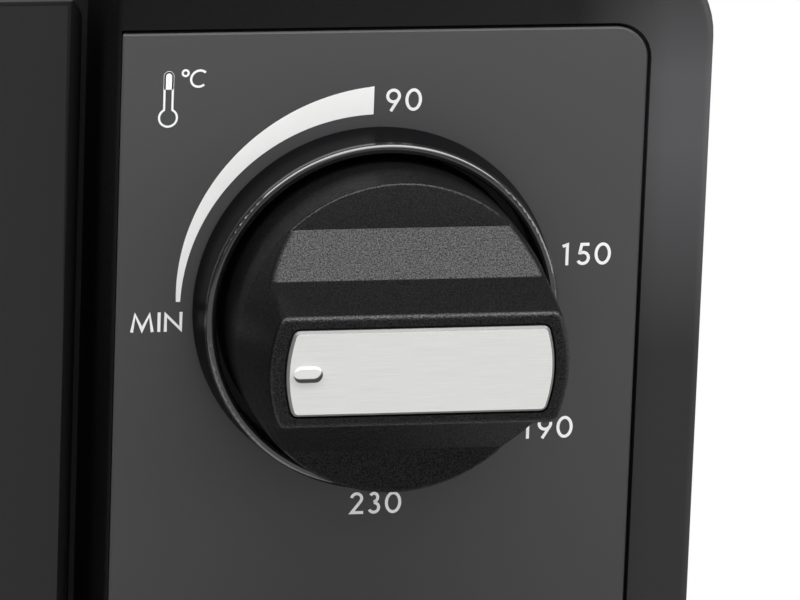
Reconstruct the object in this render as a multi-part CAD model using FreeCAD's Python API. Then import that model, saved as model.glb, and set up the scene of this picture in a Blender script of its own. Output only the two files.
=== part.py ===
"""Countertop oven with three rotary controls, a drop-down glass door and a crumb drawer.

Millimetres. Seen by someone who faces the oven, +X is to the right, the front faces -Y and +Z is up.
The origin lies on the table, under the middle of the oven's outer box.
Every piece is one or more closed solids, written to its own file.
"""
import FreeCAD, Part

import math
import os

from FreeCAD import Vector

# The body: a painted steel box on four feet
body_width = 450.0
body_height = 261.0
body_depth = 290.0
foot_height = 14.0
sheet = 0.8
frame_sheet = 1.0
shell_corner = 13.0
shell_flange = 10.0
shell_bend = 2.0
flange_depth = 11.0
vent_length = 26.0
vent_width = 3.2
vent_pitch = 9.0
vent_count = 9
vent_from_rear = 40.0
vent_row_shares = (0.3, 0.72)
rear_vent_drop = 50.0
rear_vent_row_pitch = 40.0
rear_vent_pitch = 8.0
rear_vent_count = 8
base_vent_length = 36.0
base_vent_pitch = 8.0
base_vent_count = 10
spacer_depth = 8.0
spacer_inset = 100.0
spacer_drop = 40.0
spacer_width = 18.0
spacer_height = 32.0
spacer_base = 2.0
spacer_nose_inset = 4.0
foot_inset_x = 42.0
foot_inset_y = 38.0
foot_radius = 15.0
foot_lower_radius = 12.0
foot_rim = 2.0
foot_peg_radius = 2.0
foot_peg_reach = 2.0
pad_thickness = 2.5
pad_radius = 10.6
pad_top_radius = 11.2

# Where the cord enters
gland_height = 36.0
gland_neck_radius = 6.0
gland_flange_radius = 9.0
gland_bore_radius = 3.75
gland_length = 16.0
gland_barb = 1.4
gland_face = 1.0

# Gaps between pieces
running_gap = 0.3
shaft_clearance = 0.05
hole_clearance = 0.2
door_gap = 2.0

# The control block at the right, which stands proud of the door
block_depth = 26.0
block_wall = 2.4
block_floor = 2.2
block_edge_round = 1.3
block_stile = 9.0
block_rail = 10.6
block_rim = 0.45
block_left_corner = 0.6
block_inner_corner = 1.0
block_rib = 1.4
block_rib_from_frame = 6.0
panel_width = 73.9
panel_thickness = 2.0
panel_gap = 0.55
panel_rim_gap = 0.15
panel_corner = 4.6
panel_corner_left = 0.3
panel_edge_bevel = 0.25

# The three rotary controls
knob_from_panel_left = 36.2
knob_from_panel_top = 39.2
knob_height = 33.0
knob_lift = 1.0
knob_radius = 22.3
knob_skirt_draft = 0.2
knob_floor = 17.3
knob_shoulder = 0.5
knob_foot_round = 0.3
grip_end_draft = 1.4
grip_half_width = 7.75
grip_edge_round = 1.0
grip_corner_round = 1.4
ramp_round = 0.6
ramp_foot = 15.8
ramp_head = 10.1
ramp_top = 23.0
plate_end_border = 2.25
plate_side_border = 1.75
plate_corner = 1.0
plate_thickness = 1.2
plate_proud = 0.4
plate_gap = 0.3
plate_bevel = 0.35
pip_length = 4.0
pip_width = 2.2
pip_height = 0.5
pip_round = 0.3
pip_from_axis = 15.6
knob_wall = 2.2
knob_hollow_depth = 11.0
hub_radius = 6.5
knob_rib = 1.4
knob_rib_lift = 2.0
knob_bore_depth = 17.0
bezel_gap = 1.1
bezel_rim_width = 1.4
bezel_flare = 0.8
bezel_foot_round = 0.3
bezel_height = 7.2
bezel_peg_radius = 1.0
bezel_peg_count = 3
bezel_peg_reach = 1.0

# Behind the controls
shaft_radius = 3.0
shaft_flat = 1.5
shaft_hole_radius = 5.0
neck_radius = 4.5
neck_length = 8.0
nut_across_flats = 12.0
nut_thickness = 2.4
bracket_sheet = 1.2
bracket_play = 2.0
shaft_behind_bracket = 6.0
terminal_width = 4.8
terminal_sheet = 0.8
thermostat_width = 38.0
thermostat_height = 32.0
thermostat_depth = 16.0
bellows_radius = 13.0
bellows_depth = 5.0
switch_width = 40.0
wafer_depth = 10.0
wafer_gap = 3.0
wafer_waist = 17.0
timer_width = 46.0
timer_height = 44.0
timer_plate = 2.0
timer_drum_radius = 17.0
timer_drum_depth = 18.0
timer_post_radius = 2.0
timer_post_inset = 4.0
bell_radius = 15.6
lamp_radius = 2.6
lamp_dome = 1.6
lamp_sleeve_radius = 3.6
lamp_collar_radius = 6.0
bulb_from_wall = 7.0
bulb_drop = 16.0
bulb_radius = 3.0
bulb_length = 80.0
bulb_from_front = 40.0
capillary_radius = 1.0
capillary_run = 12.0
clip_sheet = 0.8
clip_width = 6.0
terminal_block_width = 44.0
terminal_block_depth = 20.0
terminal_block_height = 10.0
terminal_block_from_rear = 62.0
terminal_block_ways = 3
terminal_pitch = 14.0
shield_from_stay = 4.0
shield_rear_flange = 9.0
shield_front_flange = 6.0
shield_window_width = 24.0
shield_window_height = 20.0

# The cavity
cavity_from_shell = 24.0
cavity_from_block = 22.0
cavity_rear_gap = 18.0
cavity_floor_lift = 5.2
cavity_top_gap = 13.0
opening_lip = 2.0
opening_corner = 8.0
sill_height = 30.0
lowest_runner = 65.0
highest_runner_drop = 81.0
runner_count = 3
runner_depth = 9.0
runner_edge = 3.0
element_radius = 3.25
element_terminal_radius = 1.6
element_terminal_length = 12.0
lower_element_height = 40.0
upper_element_drop = 18.0
element_from_front = 78.0
element_pitch = 118.0
insulator_radius = 6.5
insulator_neck_radius = 4.6
insulator_length = 7.0
roof_bead_width = 16.0
roof_bead_height = 2.4
roof_bead_inset = 30.0
wall_bead_radius = 62.0
wall_bead_height = 3.2
wall_bead_lift = 8.0

# What stands in the cavity
rack_level = 1
rack_side_gap = 5.0
rack_front_gap = 6.0
rack_rear_gap = 8.0
rack_frame_radius = 2.5
rack_wire_radius = 1.5
rack_corner = 14.0
rack_wire_count = 13
rack_weld = 1.1
tray_width = 276.0
tray_depth = 226.0
tray_height = 22.0
tray_rim = 7.0
tray_draft = 8.0
tray_corner = 16.0
tray_foot_corner = 12.0

# The crumb drawer
drawer_side_gap = 4.0
drawer_wall_height = 8.0
drawer_front_height = 15.4
drawer_front_overlap = 4.0
drawer_lip = 12.0
drawer_lip_turn = 4.0
drawer_rear_gap = 9.0
drawer_slot_play = 1.0
drawer_bend = 1.2

# The door and its hinge
door_thickness = 14.0
door_side_gap = 3.0
door_left_margin = 6.0
door_top_margin = 7.0
door_from_floor = 24.0
door_edge_round = 3.0
door_corner = 6.0
stile_width = 26.0
top_rail_width = 38.0
bottom_rail_width = 30.0
window_corner = 7.0
window_bevel = 2.4
glass_overlap = 6.0
glass_thickness = 4.0
retainer_sheet = 1.0
retainer_width = 10.0
hinge_pin_radius = 2.5
hinge_pin_depth = 11.0
hinge_pin_head = 1.2
hinge_pin_head_thickness = 0.8
hinge_ear = 1.5
hinge_ear_radius = 6.0
hinge_foot_width = 10.0
hinge_foot_half = 9.0
hinge_foot_sheet = 1.5
stay_radius = 60.0
stay_width = 8.0
stay_from_door_end = 8.0
stay_turn = 102.0
stay_hook_turn = 6.0
stay_hook_width = 14.0
stay_foot = 12.0
stay_foot_sheet = 1.2
stay_foot_margin = 2.0
stay_slot_play = 1.6
stay_side_play = 1.0

# The handle
handle_length = 300.0
handle_radius = 6.0
handle_reach = 30.0
handle_drop = 18.0
handle_end_round = 1.6
post_from_end = 26.0
post_base_radius = 9.0
post_base_height = 1.6
post_neck_radius = 5.0

# Places that follow from the sizes above
front_reach = block_depth + knob_height + pip_height
total_depth = front_reach + body_depth + spacer_depth
y_frame = -total_depth / 2 + front_reach
y_frame_back = y_frame + frame_sheet
y_rear = y_frame + body_depth
y_rear_inside = y_rear - sheet
y_block = y_frame - block_depth
x_right = body_width / 2
x_left = -x_right
z_bottom = foot_height
z_top = foot_height + body_height

panel_right = x_right - block_stile - panel_gap
panel_left = panel_right - panel_width
panel_top = z_top - block_rail - panel_gap
panel_bottom = z_bottom + block_rail + panel_gap
block_left = panel_left - panel_rim_gap - block_rim
y_panel_back = y_block + panel_thickness
y_block_floor_back = y_panel_back + block_floor
knob_x = panel_left + knob_from_panel_left
knob_pitch = (panel_top - panel_bottom) / 2 - knob_from_panel_top
knob_z = tuple(panel_top - knob_from_panel_top - i * knob_pitch for i in range(3))
knob_floor_radius = knob_radius - knob_skirt_draft
grip_end_radius = knob_floor_radius - grip_end_draft
grip_height = knob_height - plate_proud
plate_length = 2 * (grip_end_radius - plate_end_border)
plate_width = 2 * (grip_half_width - plate_side_border)
bezel_inner_radius = knob_radius + bezel_gap
bezel_rim_radius = bezel_inner_radius + bezel_rim_width
bezel_radius = bezel_rim_radius + bezel_flare
lamp_z = (knob_z[1] + knob_z[2]) / 2
y_bracket_back = y_frame_back + bracket_sheet
gland_x = knob_x
gland_z = z_bottom + gland_height

cavity_left = x_left + cavity_from_shell
cavity_right = block_left - cavity_from_block
cavity_width = cavity_right - cavity_left
cavity_floor = z_bottom + cavity_floor_lift + sheet
cavity_top = z_top - cavity_top_gap
cavity_back = y_rear_inside - cavity_rear_gap
sill_top = cavity_floor + sill_height
runner_pitch = (cavity_top - cavity_floor - lowest_runner - highest_runner_drop) / (runner_count - 1)
shelf_z = tuple(cavity_floor + lowest_runner + i * runner_pitch for i in range(runner_count))
element_y = tuple(y_frame_back + element_from_front + i * element_pitch for i in range(2))
lower_element_z = cavity_floor + lower_element_height
upper_element_z = cavity_top - upper_element_drop
rack_z = shelf_z[rack_level] + running_gap + rack_frame_radius
rack_wire_z = rack_z + rack_frame_radius + rack_wire_radius - rack_weld
tray_z = rack_wire_z + rack_wire_radius
bulb_x = cavity_right - bulb_from_wall
bulb_y = y_frame_back + bulb_from_front
bulb_z = upper_element_z - bulb_drop
capillary_y = bulb_y + bulb_length + capillary_run

door_left = x_left + door_left_margin
door_right = block_left - door_side_gap
door_back = y_frame - door_gap
door_front = door_back - door_thickness
door_top = z_top - door_top_margin
hinge_y = door_back - door_thickness / 2
hinge_z = z_bottom + door_from_floor + door_thickness / 2 + 1.0
door_bottom = hinge_z - door_thickness / 2
handle_x = (door_left + door_right) / 2
handle_y = door_front - handle_reach
handle_z = door_top - handle_drop


def unit(axis):
    """The unit vector along x, y or z."""
    return Vector(*(1.0 if axis == letter else 0.0 for letter in "xyz"))


def block(x0, x1, y0, y1, z0, z1):
    """A plain box between two corners."""
    return Part.makeBox(x1 - x0, y1 - y0, z1 - z0, Vector(x0, y0, z0))


def rod(start, axis, radius, length):
    """A round bar from start along an axis."""
    return Part.makeCylinder(radius, length, start, axis)


def rounded_edges(points, radii, closed):
    """Lines and tangent arcs through points, with a radius at each one."""
    stations = []
    count = len(points)
    for i, corner in enumerate(points):
        radius = radii[i]
        at_end = not closed and i in (0, count - 1)
        if radius <= 0 or at_end:
            stations.append((corner, corner, corner))
            continue
        before = (points[i - 1] - corner).normalize()
        after = (points[(i + 1) % count] - corner).normalize()
        half = before.getAngle(after) / 2
        reach = radius / math.tan(half)
        bisector = (before + after).normalize()
        middle = corner + bisector * (radius / math.sin(half) - radius)
        stations.append((corner + before * reach, middle, corner + after * reach))
    edges = []
    for i, (start, middle, end) in enumerate(stations):
        if (end - start).Length > 1e-6:
            edges.append(Part.Arc(start, middle, end).toShape())
        if not closed and i == count - 1:
            break
        following = stations[(i + 1) % count][0]
        if (following - end).Length > 1e-6:
            edges.append(Part.makeLine(end, following))
    return edges


def prism(points, radii, travel):
    """The outline through points, with rounded corners, drawn out along travel."""
    if isinstance(radii, (int, float)):
        radii = [radii] * len(points)
    outline = Part.Wire(rounded_edges(points, radii, closed=True))
    return Part.Face(outline).extrude(travel)


def in_plane(axis, pairs, level):
    """Points of a plane across x, y or z, from pairs of the two other coordinates."""
    if axis == "x":
        return [Vector(level, a, b) for a, b in pairs]
    if axis == "y":
        return [Vector(a, level, b) for a, b in pairs]
    return [Vector(a, b, level) for a, b in pairs]


def profile(axis, pairs, radii, low, high):
    """An outline across one axis, drawn out between two levels of it."""
    return prism(in_plane(axis, pairs, low), radii, unit(axis) * (high - low))


def slab(axis, a0, a1, b0, b1, low, high, radii=0.0):
    """A rectangle with rounded corners, drawn out along one axis."""
    return profile(axis, [(a0, b0), (a1, b0), (a1, b1), (a0, b1)], radii, low, high)


def slot_y(x, z, length, width, y0, y1):
    """A tool for an upright slot with round ends, cut along Y."""
    return slab("y", x - width / 2, x + width / 2, z - length / 2, z + length / 2, y0, y1, width * 0.499)


def bent_sheet(axis, pairs, radii, thickness, low, high):
    """A sheet bent along a path, thickened to the path's left and drawn out along one axis."""
    if isinstance(radii, (int, float)):
        radii = [radii] * len(pairs)
    ways = []
    for (a0, b0), (a1, b1) in zip(pairs, pairs[1:]):
        run = math.hypot(a1 - a0, b1 - b0)
        ways.append(((a1 - a0) / run, (b1 - b0) / run))
    far = []
    far_radii = []
    for i, (a, b) in enumerate(pairs):
        before = ways[max(i - 1, 0)]
        after = ways[min(i, len(ways) - 1)]
        cross = before[0] * after[1] - before[1] * after[0]
        dot = before[0] * after[0] + before[1] * after[1]
        stretch = thickness / (1 + dot)
        far.append((a - (before[1] + after[1]) * stretch, b + (before[0] + after[0]) * stretch))
        turned = radii[i] - thickness if cross > 0 else radii[i] + thickness
        far_radii.append(max(turned, 0.0) if radii[i] > 0 else 0.0)
    outline = list(pairs) + far[::-1]
    corner_radii = list(radii) + far_radii[::-1]
    last = len(pairs) - 1
    for end in (0, last, last + 1, 2 * last + 1):
        corner_radii[end] = 0.0
    return profile(axis, outline, corner_radii, low, high)


def tube_along(points, radii, radius):
    """A round bar bent along points."""
    spine = Part.Wire(rounded_edges(points, radii, closed=False))
    way = (points[1] - points[0]).normalize()
    ring = Part.Wire(Part.makeCircle(radius, points[0], way))
    return spine.makePipeShell([ring], True, False)


def closed_tube(points, radii, radius):
    """A round bar bent into a closed frame, starting in the middle of its first run."""
    middle = (points[0] + points[1]) * 0.5
    turned = [middle] + list(points[1:]) + [points[0]]
    turned_radii = [0.0] + list(radii[1:]) + [radii[0]]
    spine = Part.Wire(rounded_edges(turned, turned_radii, closed=True))
    ring = Part.Wire(Part.makeCircle(radius, middle, points[1] - points[0]))
    return spine.makePipeShell([ring], True, False)


def edges_where(shape, test):
    """The edges whose both ends and middle pass a test."""
    chosen = []
    for edge in shape.Edges:
        middle = edge.valueAt((edge.FirstParameter + edge.LastParameter) / 2)
        if all(test(point) for point in [vertex.Point for vertex in edge.Vertexes] + [middle]):
            chosen.append(edge)
    return chosen


def on_panel(shape, x, z, pointer):
    """A piece drawn with its axis up stands on the panel, with its +X turned to the pointer's angle."""
    placed = shape.copy()
    placed.rotate(Vector(0, 0, 0), Vector(0, 0, 1), pointer)
    placed.rotate(Vector(0, 0, 0), Vector(1, 0, 0), 90.0)
    placed.translate(Vector(x, y_block, z))
    return placed


def save(name, shapes):
    """Writes one named piece, or a group of like pieces."""
    if not isinstance(shapes, (list, tuple)):
        shapes = [shapes]
    solids = [solid for shape in shapes for solid in shape.Solids]
    out = solids[0] if len(solids) == 1 else Part.makeCompound(solids)
    out.exportStep(os.path.join("parts", name + ".step"))
    state = "" if all(solid.isValid() for solid in solids) else "  NOT VALID"
    print(f"{name}: {len(solids)} solid(s){state}")


def outer_shell():
    """Top and both sides, bent from one sheet, with vents beside the controls and on the left."""
    path = [
        (x_right - shell_flange, z_bottom),
        (x_right, z_bottom),
        (x_right, z_top),
        (x_left, z_top),
        (x_left, z_bottom),
        (x_left + shell_flange, z_bottom),
    ]
    bends = [0.0, shell_bend, shell_corner, shell_corner, shell_bend, 0.0]
    shell = bent_sheet("y", path, bends, sheet, y_frame_back, y_rear_inside)
    for side in (x_left, x_right):
        for share in vent_row_shares:
            row = z_bottom + share * body_height
            for i in range(vent_count):
                y = y_rear - vent_from_rear - i * vent_pitch
                vent = slab(
                    "x", y - vent_width / 2, y + vent_width / 2,
                    row - vent_length / 2, row + vent_length / 2,
                    side - 2 * sheet, side + 2 * sheet, vent_width * 0.499,
                )
                shell = shell.cut(vent)
    return shell


def framed_plate(y0, thickness, flange_from, flange_to):
    """A plate over the whole body outline with a folded edge along its top and sides."""
    corners = [0.5, 0.5, shell_corner, shell_corner]
    plate = slab("y", x_left, x_right, z_bottom, z_top, y0, y0 + thickness, corners)
    inset = sheet + hole_clearance
    path = [
        (x_right - inset, z_bottom + 3 * sheet),
        (x_right - inset, z_top - inset),
        (x_left + inset, z_top - inset),
        (x_left + inset, z_bottom + 3 * sheet),
    ]
    bends = [0.0, shell_corner - inset, shell_corner - inset, 0.0]
    flange = bent_sheet("y", path, bends, sheet, flange_from, flange_to)
    return plate.fuse(flange).removeSplitter()


def stay_x():
    """The inner faces of the two door stays, left and right."""
    return (door_left + stay_from_door_end, door_right - stay_from_door_end - hinge_ear)


def ear_x():
    """The low x of each hinge ear, outside the door's two ends."""
    return (door_left - running_gap - hinge_ear, door_right + running_gap)


def front_frame():
    """The pressed front: openings for the cavity, the drawer, the controls, the hinge ears and the stays."""
    frame = framed_plate(y_frame, frame_sheet, y_frame, y_frame + flange_depth)
    y0 = y_frame - 1.0
    y1 = y_frame_back + 1.0
    cuts = [
        slab(
            "y", cavity_left + opening_lip, cavity_right - opening_lip,
            sill_top, cavity_top - 2 * opening_lip, y0, y1, opening_corner,
        ),
        slab(
            "y", cavity_left, cavity_right,
            cavity_floor, cavity_floor + drawer_front_height - drawer_slot_play, y0, y1, 1.0,
        ),
        slab("y", block_left + 9.0, panel_right - 9.0, panel_bottom + 8.0, panel_top - 8.0, y0, y1, 4.0),
    ]
    for x in ear_x():
        cuts.append(
            block(
                x - hole_clearance, x + hinge_ear + hole_clearance, y0, y1,
                hinge_z - hinge_ear_radius - hole_clearance, hinge_z + hinge_ear_radius + hole_clearance,
            )
        )
    slot_half = stay_width / 2 + stay_slot_play
    for x in stay_x():
        cuts.append(
            block(
                x - stay_side_play, x + hinge_ear + stay_side_play, y0, y1,
                hinge_z + stay_radius - slot_half, hinge_z + stay_radius + slot_half,
            )
        )
    return frame.cut(Part.makeCompound(cuts))


def rear_panel():
    """The back: a vented sheet with a hole for the cord's gland."""
    panel = framed_plate(y_rear_inside, sheet, y_rear - flange_depth, y_rear)
    y0 = y_rear_inside - 1.0
    y1 = y_rear + 1.0
    gland_hole = gland_neck_radius + shaft_clearance
    cuts = [rod(Vector(gland_x, y0, gland_z), unit("y"), gland_hole, y1 - y0)]
    for row in range(2):
        for i in range(rear_vent_count):
            x = knob_x + (i - (rear_vent_count - 1) / 2) * rear_vent_pitch
            z = z_top - rear_vent_drop - row * rear_vent_row_pitch
            cuts.append(slot_y(x, z, vent_length, vent_width, y0, y1))
    return panel.cut(Part.makeCompound(cuts))


def cord_gland():
    """A stepped bush in the rear panel, with a groove that grips the sheet."""
    outline = [
        (gland_bore_radius, -gland_length / 2),
        (gland_neck_radius + gland_barb, -gland_length / 2 + 2.0),
        (gland_neck_radius + gland_barb, -gland_face - sheet),
        (gland_neck_radius, -gland_face - sheet),
        (gland_neck_radius, -gland_face),
        (gland_flange_radius, -gland_face),
        (gland_flange_radius - 0.6, 1.4),
        (gland_neck_radius + 0.6, 2.0),
        (gland_bore_radius + 1.0, gland_length / 2 - 1.0),
        (gland_bore_radius, gland_length / 2 - 1.0),
    ]
    shift = y_rear + gland_face
    points = [Vector(gland_x + r, shift + y, gland_z) for r, y in outline]
    face = Part.Face(Part.makePolygon(points + points[:1]))
    return face.revolve(Vector(gland_x, 0, gland_z), unit("y"), 360.0)


def foot_places():
    """The middles of the four feet."""
    return [
        (x, y)
        for x in (x_left + foot_inset_x, x_right - foot_inset_x)
        for y in (y_frame + foot_inset_y, y_rear - foot_inset_y)
    ]


def base_plate():
    """The bottom sheet, resting on the shell's folded edges, with vents and stiffening beads."""
    z0 = z_bottom + sheet
    inset = shell_bend + hole_clearance
    plate = block(x_left + inset, x_right - inset, y_frame_back, y_rear_inside, z0, z0 + sheet)
    cuts = []
    for x, y in foot_places():
        cuts.append(rod(Vector(x, y, z0 - 1.0), unit("z"), foot_peg_radius + hole_clearance, 2.0 + sheet))
    half = base_vent_length / 2
    for i in range(base_vent_count):
        x = knob_x + (i - (base_vent_count - 1) / 2) * base_vent_pitch
        cuts.append(
            slab(
                "z", x - vent_width / 2, x + vent_width / 2, -half, half,
                z0 - 1.0, z0 + sheet + 1.0, vent_width * 0.499,
            )
        )
    return plate.cut(Part.makeCompound(cuts))


def feet():
    """Four moulded feet under the base, each with a locating peg through the base plate."""
    shapes = []
    for x, y in foot_places():
        outline = [
            (0.0, pad_thickness),
            (foot_lower_radius, pad_thickness),
            (foot_radius, foot_height - foot_rim),
            (foot_radius, foot_height + sheet),
            (foot_peg_radius, foot_height + sheet),
            (foot_peg_radius, foot_height + 2 * sheet + foot_peg_reach),
            (0.0, foot_height + 2 * sheet + foot_peg_reach),
        ]
        points = [Vector(x + r, y, z) for r, z in outline]
        face = Part.Face(Part.makePolygon(points + points[:1]))
        shapes.append(face.revolve(Vector(x, y, 0), unit("z"), 360.0))
    return shapes


def foot_pads():
    """A rubber disc under each foot."""
    return [
        Part.makeCone(pad_radius, pad_top_radius, pad_thickness, Vector(x, y, 0))
        for x, y in foot_places()
    ]


def wall_spacers():
    """Two moulded bumpers that keep the back off a wall."""
    shapes = []
    z = z_top - spacer_drop
    for x in (x_left + spacer_inset, x_right - spacer_inset):
        steps = []
        for inset, depth in ((0.0, spacer_base), (spacer_nose_inset, spacer_depth)):
            half_width = spacer_width / 2 - inset
            half_height = spacer_height / 2 - inset
            steps.append(
                slab(
                    "y", x - half_width, x + half_width, z - half_height, z + half_height,
                    y_rear, y_rear + depth, half_width * 0.9,
                )
            )
        shapes.append(steps[0].fuse(steps[1]).removeSplitter())
    return shapes


def control_fascia():
    """The moulded block that carries the controls: a hollow box with a pocket for the grey panel."""
    corners = [block_left_corner, shell_corner, shell_corner, block_left_corner]
    outer = slab("y", block_left, x_right, z_bottom, z_top, y_block, y_frame, corners)
    past_corner = block_left + block_left_corner - 0.01
    on_front = edges_where(outer, lambda p: abs(p.y - y_block) < 1e-6 and p.x > past_corner)
    outer = outer.makeFillet(block_edge_round, on_front)
    inner_corner = shell_corner - block_wall
    hollow = slab(
        "y", block_left + block_wall, x_right - block_wall, z_bottom + block_wall, z_top - block_wall,
        y_block_floor_back, y_frame + 1.0,
        [block_inner_corner, inner_corner, inner_corner, block_inner_corner],
    )
    pocket = slab(
        "y", panel_left - panel_rim_gap, panel_right + panel_gap,
        panel_bottom - panel_gap, panel_top + panel_gap, y_block - 1.0, y_panel_back,
        [panel_corner_left, panel_corner + panel_gap, panel_corner + panel_gap, panel_corner_left],
    )
    shell = outer.cut(hollow).cut(pocket)
    ribs = []
    for z in (lamp_z, (knob_z[0] + knob_z[1]) / 2):
        high = z - 2 * lamp_radius
        ribs.append(
            block(
                block_left + block_wall, x_right - block_wall,
                y_block_floor_back, y_frame - block_rib_from_frame, high - block_rib, high,
            )
        )
    shell = shell.fuse(ribs).removeSplitter()
    return shell.cut(Part.makeCompound(front_holes(y_block_floor_back + 2 * bezel_peg_reach)))


def front_holes(y_end):
    """Tools for the holes that the shafts, the bezel pegs and the lamp pass through."""
    tools = []
    y0 = y_block - 1.0
    for z in knob_z:
        tools.append(rod(Vector(knob_x, y0, z), unit("y"), shaft_hole_radius, y_end - y0))
        for dx, dz in peg_places():
            start = Vector(knob_x + dx, y0, z + dz)
            tools.append(rod(start, unit("y"), bezel_peg_radius + shaft_clearance, y_end - y0))
    tools.append(rod(Vector(knob_x, y0, lamp_z), unit("y"), lamp_radius + shaft_clearance, y_end - y0))
    return tools


def peg_places():
    """Offsets of a bezel's pegs from its axis."""
    radius = (bezel_radius + bezel_inner_radius) / 2
    turns = [math.radians(90.0 + i * 360.0 / bezel_peg_count) for i in range(bezel_peg_count)]
    return [(radius * math.cos(turn), radius * math.sin(turn)) for turn in turns]


def control_panel():
    """The grey plate in the block's pocket, with a fine bevel round its front."""
    corners = [panel_corner_left, panel_corner, panel_corner, panel_corner_left]
    plate = slab("y", panel_left, panel_right, panel_bottom, panel_top, y_block, y_panel_back, corners)
    rim = edges_where(plate, lambda p: abs(p.y - y_block) < 1e-6)
    plate = plate.makeChamfer(panel_edge_bevel, rim)
    return plate.cut(Part.makeCompound(front_holes(y_panel_back + 0.5)))


def control_bracket():
    """The sheet behind the front frame that the three controls are screwed to."""
    plate = slab(
        "y", block_left + 2 * bracket_play, panel_right - 2 * bracket_play,
        panel_bottom + bracket_play, panel_top - bracket_play, y_frame_back, y_bracket_back, 3.0,
    )
    holes = [
        rod(Vector(knob_x, y_frame, z), unit("y"), neck_radius + shaft_clearance, 6.0) for z in knob_z
    ]
    sleeve_hole = lamp_sleeve_radius + 3 * hole_clearance
    holes.append(rod(Vector(knob_x, y_frame, lamp_z), unit("y"), sleeve_hole, 6.0))
    return plate.cut(Part.makeCompound(holes))


def heat_shield():
    """A folded sheet between the hot cavity and the controls, with windows for the heater ends."""
    x = stay_x()[1] + hinge_ear + shield_from_stay
    path = [
        (x + shield_rear_flange, y_rear_inside),
        (x, y_rear_inside),
        (x, y_frame_back),
        (x + shield_front_flange, y_frame_back),
    ]
    shield = bent_sheet("z", path, 0.0, sheet, z_bottom + 4 * sheet, cavity_top)
    windows = []
    for z in (lower_element_z, upper_element_z):
        for y in element_y:
            half_width = shield_window_width / 2
            half_height = shield_window_height / 2
            windows.append(
                slab(
                    "x", y - half_width, y + half_width, z - half_height, z + half_height,
                    x - 2.0, x + 3.0, 3.0,
                )
            )
    windows.append(rod(Vector(x - 2.0, capillary_y, bulb_z), unit("x"), 4.0, 6.0))
    notch_top = hinge_z + hinge_foot_half + 1.0
    notch_back = y_frame_back + hinge_foot_sheet + 1.0
    windows.append(block(x - 2.0, x + 10.0, y_frame, notch_back, z_bottom, notch_top))
    return shield.cut(Part.makeCompound(windows))


def cavity_side(wall_x, inward):
    """A side of the cavity, pressed with three runners. inward is 1 on the left side and -1 on the right."""
    low = cavity_floor - sheet
    path = [(wall_x, low)]
    for z in shelf_z:
        path.append((wall_x, z - runner_edge - runner_depth))
        path.append((wall_x + inward * runner_depth, z - runner_edge))
        path.append((wall_x + inward * runner_depth, z))
        path.append((wall_x, z))
    path.append((wall_x, cavity_top))
    if inward < 0:
        path = path[::-1]
    wall = bent_sheet("y", path, 0.0, sheet, y_frame_back, cavity_back)
    holes = []
    outer = wall_x - inward * 3.0
    for z in (lower_element_z, upper_element_z):
        for y in element_y:
            holes.append(rod(Vector(outer, y, z), unit("x") * inward, insulator_neck_radius, 8.0))
    if inward < 0:
        holes.append(rod(Vector(outer, capillary_y, bulb_z), unit("x") * inward, capillary_radius + 0.3, 8.0))
    return wall.cut(Part.makeCompound(holes))


def cavity_top_sheet():
    """The cavity's roof, with two shallow stiffening beads pressed upwards."""
    z0 = cavity_top
    roof = block(cavity_left - sheet, cavity_right + sheet, y_frame_back, cavity_back + sheet, z0, z0 + sheet)
    for x in (cavity_left + 0.3 * cavity_width, cavity_left + 0.7 * cavity_width):
        steps = []
        top = z0 + roof_bead_height
        for inset, low, high in ((0.0, z0, top), (sheet, z0 - 1.0, top - sheet)):
            half = roof_bead_width / 2 - inset
            y0 = y_frame_back + roof_bead_inset + inset
            y1 = cavity_back - roof_bead_inset - inset
            steps.append(slab("z", x - half, x + half, y0, y1, low, high, half * 0.99))
        bead, hollow = steps
        roof = roof.fuse(bead).cut(hollow)
    return roof.removeSplitter()


def cavity_back_sheet():
    """The cavity's rear wall, with a pressed round stiffener."""
    y0 = cavity_back
    wall = block(cavity_left - sheet, cavity_right + sheet, y0, y0 + sheet, cavity_floor - sheet, cavity_top)
    middle = Vector((cavity_left + cavity_right) / 2, y0, (cavity_floor + cavity_top) / 2 + wall_bead_lift)
    bead = rod(middle, unit("y"), wall_bead_radius, wall_bead_height)
    hollow = rod(middle - unit("y"), unit("y"), wall_bead_radius - sheet, 1.0 + wall_bead_height - sheet)
    return wall.fuse(bead).cut(hollow).removeSplitter()


def cavity_floor_sheet():
    """The bottom sheet of the cavity, on which the crumb drawer slides."""
    z0 = cavity_floor - sheet
    return block(cavity_left, cavity_right, y_frame_back, cavity_back, z0, z0 + sheet)


def heating_elements(z):
    """Two sheathed heater rods across the cavity, with a thin terminal at each end."""
    low = cavity_left - sheet - insulator_length + 2.0
    high = cavity_right + sheet + insulator_length - 2.0
    rods = []
    for y in element_y:
        sheath = rod(Vector(low, y, z), unit("x"), element_radius, high - low)
        length = high - low + 2 * element_terminal_length
        start = Vector(low - element_terminal_length, y, z)
        rods.append(sheath.fuse(rod(start, unit("x"), element_terminal_radius, length)).removeSplitter())
    return rods


def element_insulators():
    """Stepped ceramic bushes that carry the heater rods in the cavity's side walls."""
    bushes = []
    bore = element_radius + shaft_clearance
    neck = insulator_neck_radius - shaft_clearance
    for z in (lower_element_z, upper_element_z):
        for y in element_y:
            for wall_x, outward in ((cavity_left, -1.0), (cavity_right, 1.0)):
                outline = [
                    (bore, 1.5), (neck, 1.5), (neck, -sheet), (insulator_radius, -sheet),
                    (insulator_radius, -sheet - 3.0), (insulator_radius - 1.5, -insulator_length),
                    (bore, -insulator_length),
                ]
                points = [Vector(wall_x - outward * along, y, z + r) for r, along in outline]
                face = Part.Face(Part.makePolygon(points + points[:1]))
                bushes.append(face.revolve(Vector(0, y, z), unit("x"), 360.0))
    return bushes


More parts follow.
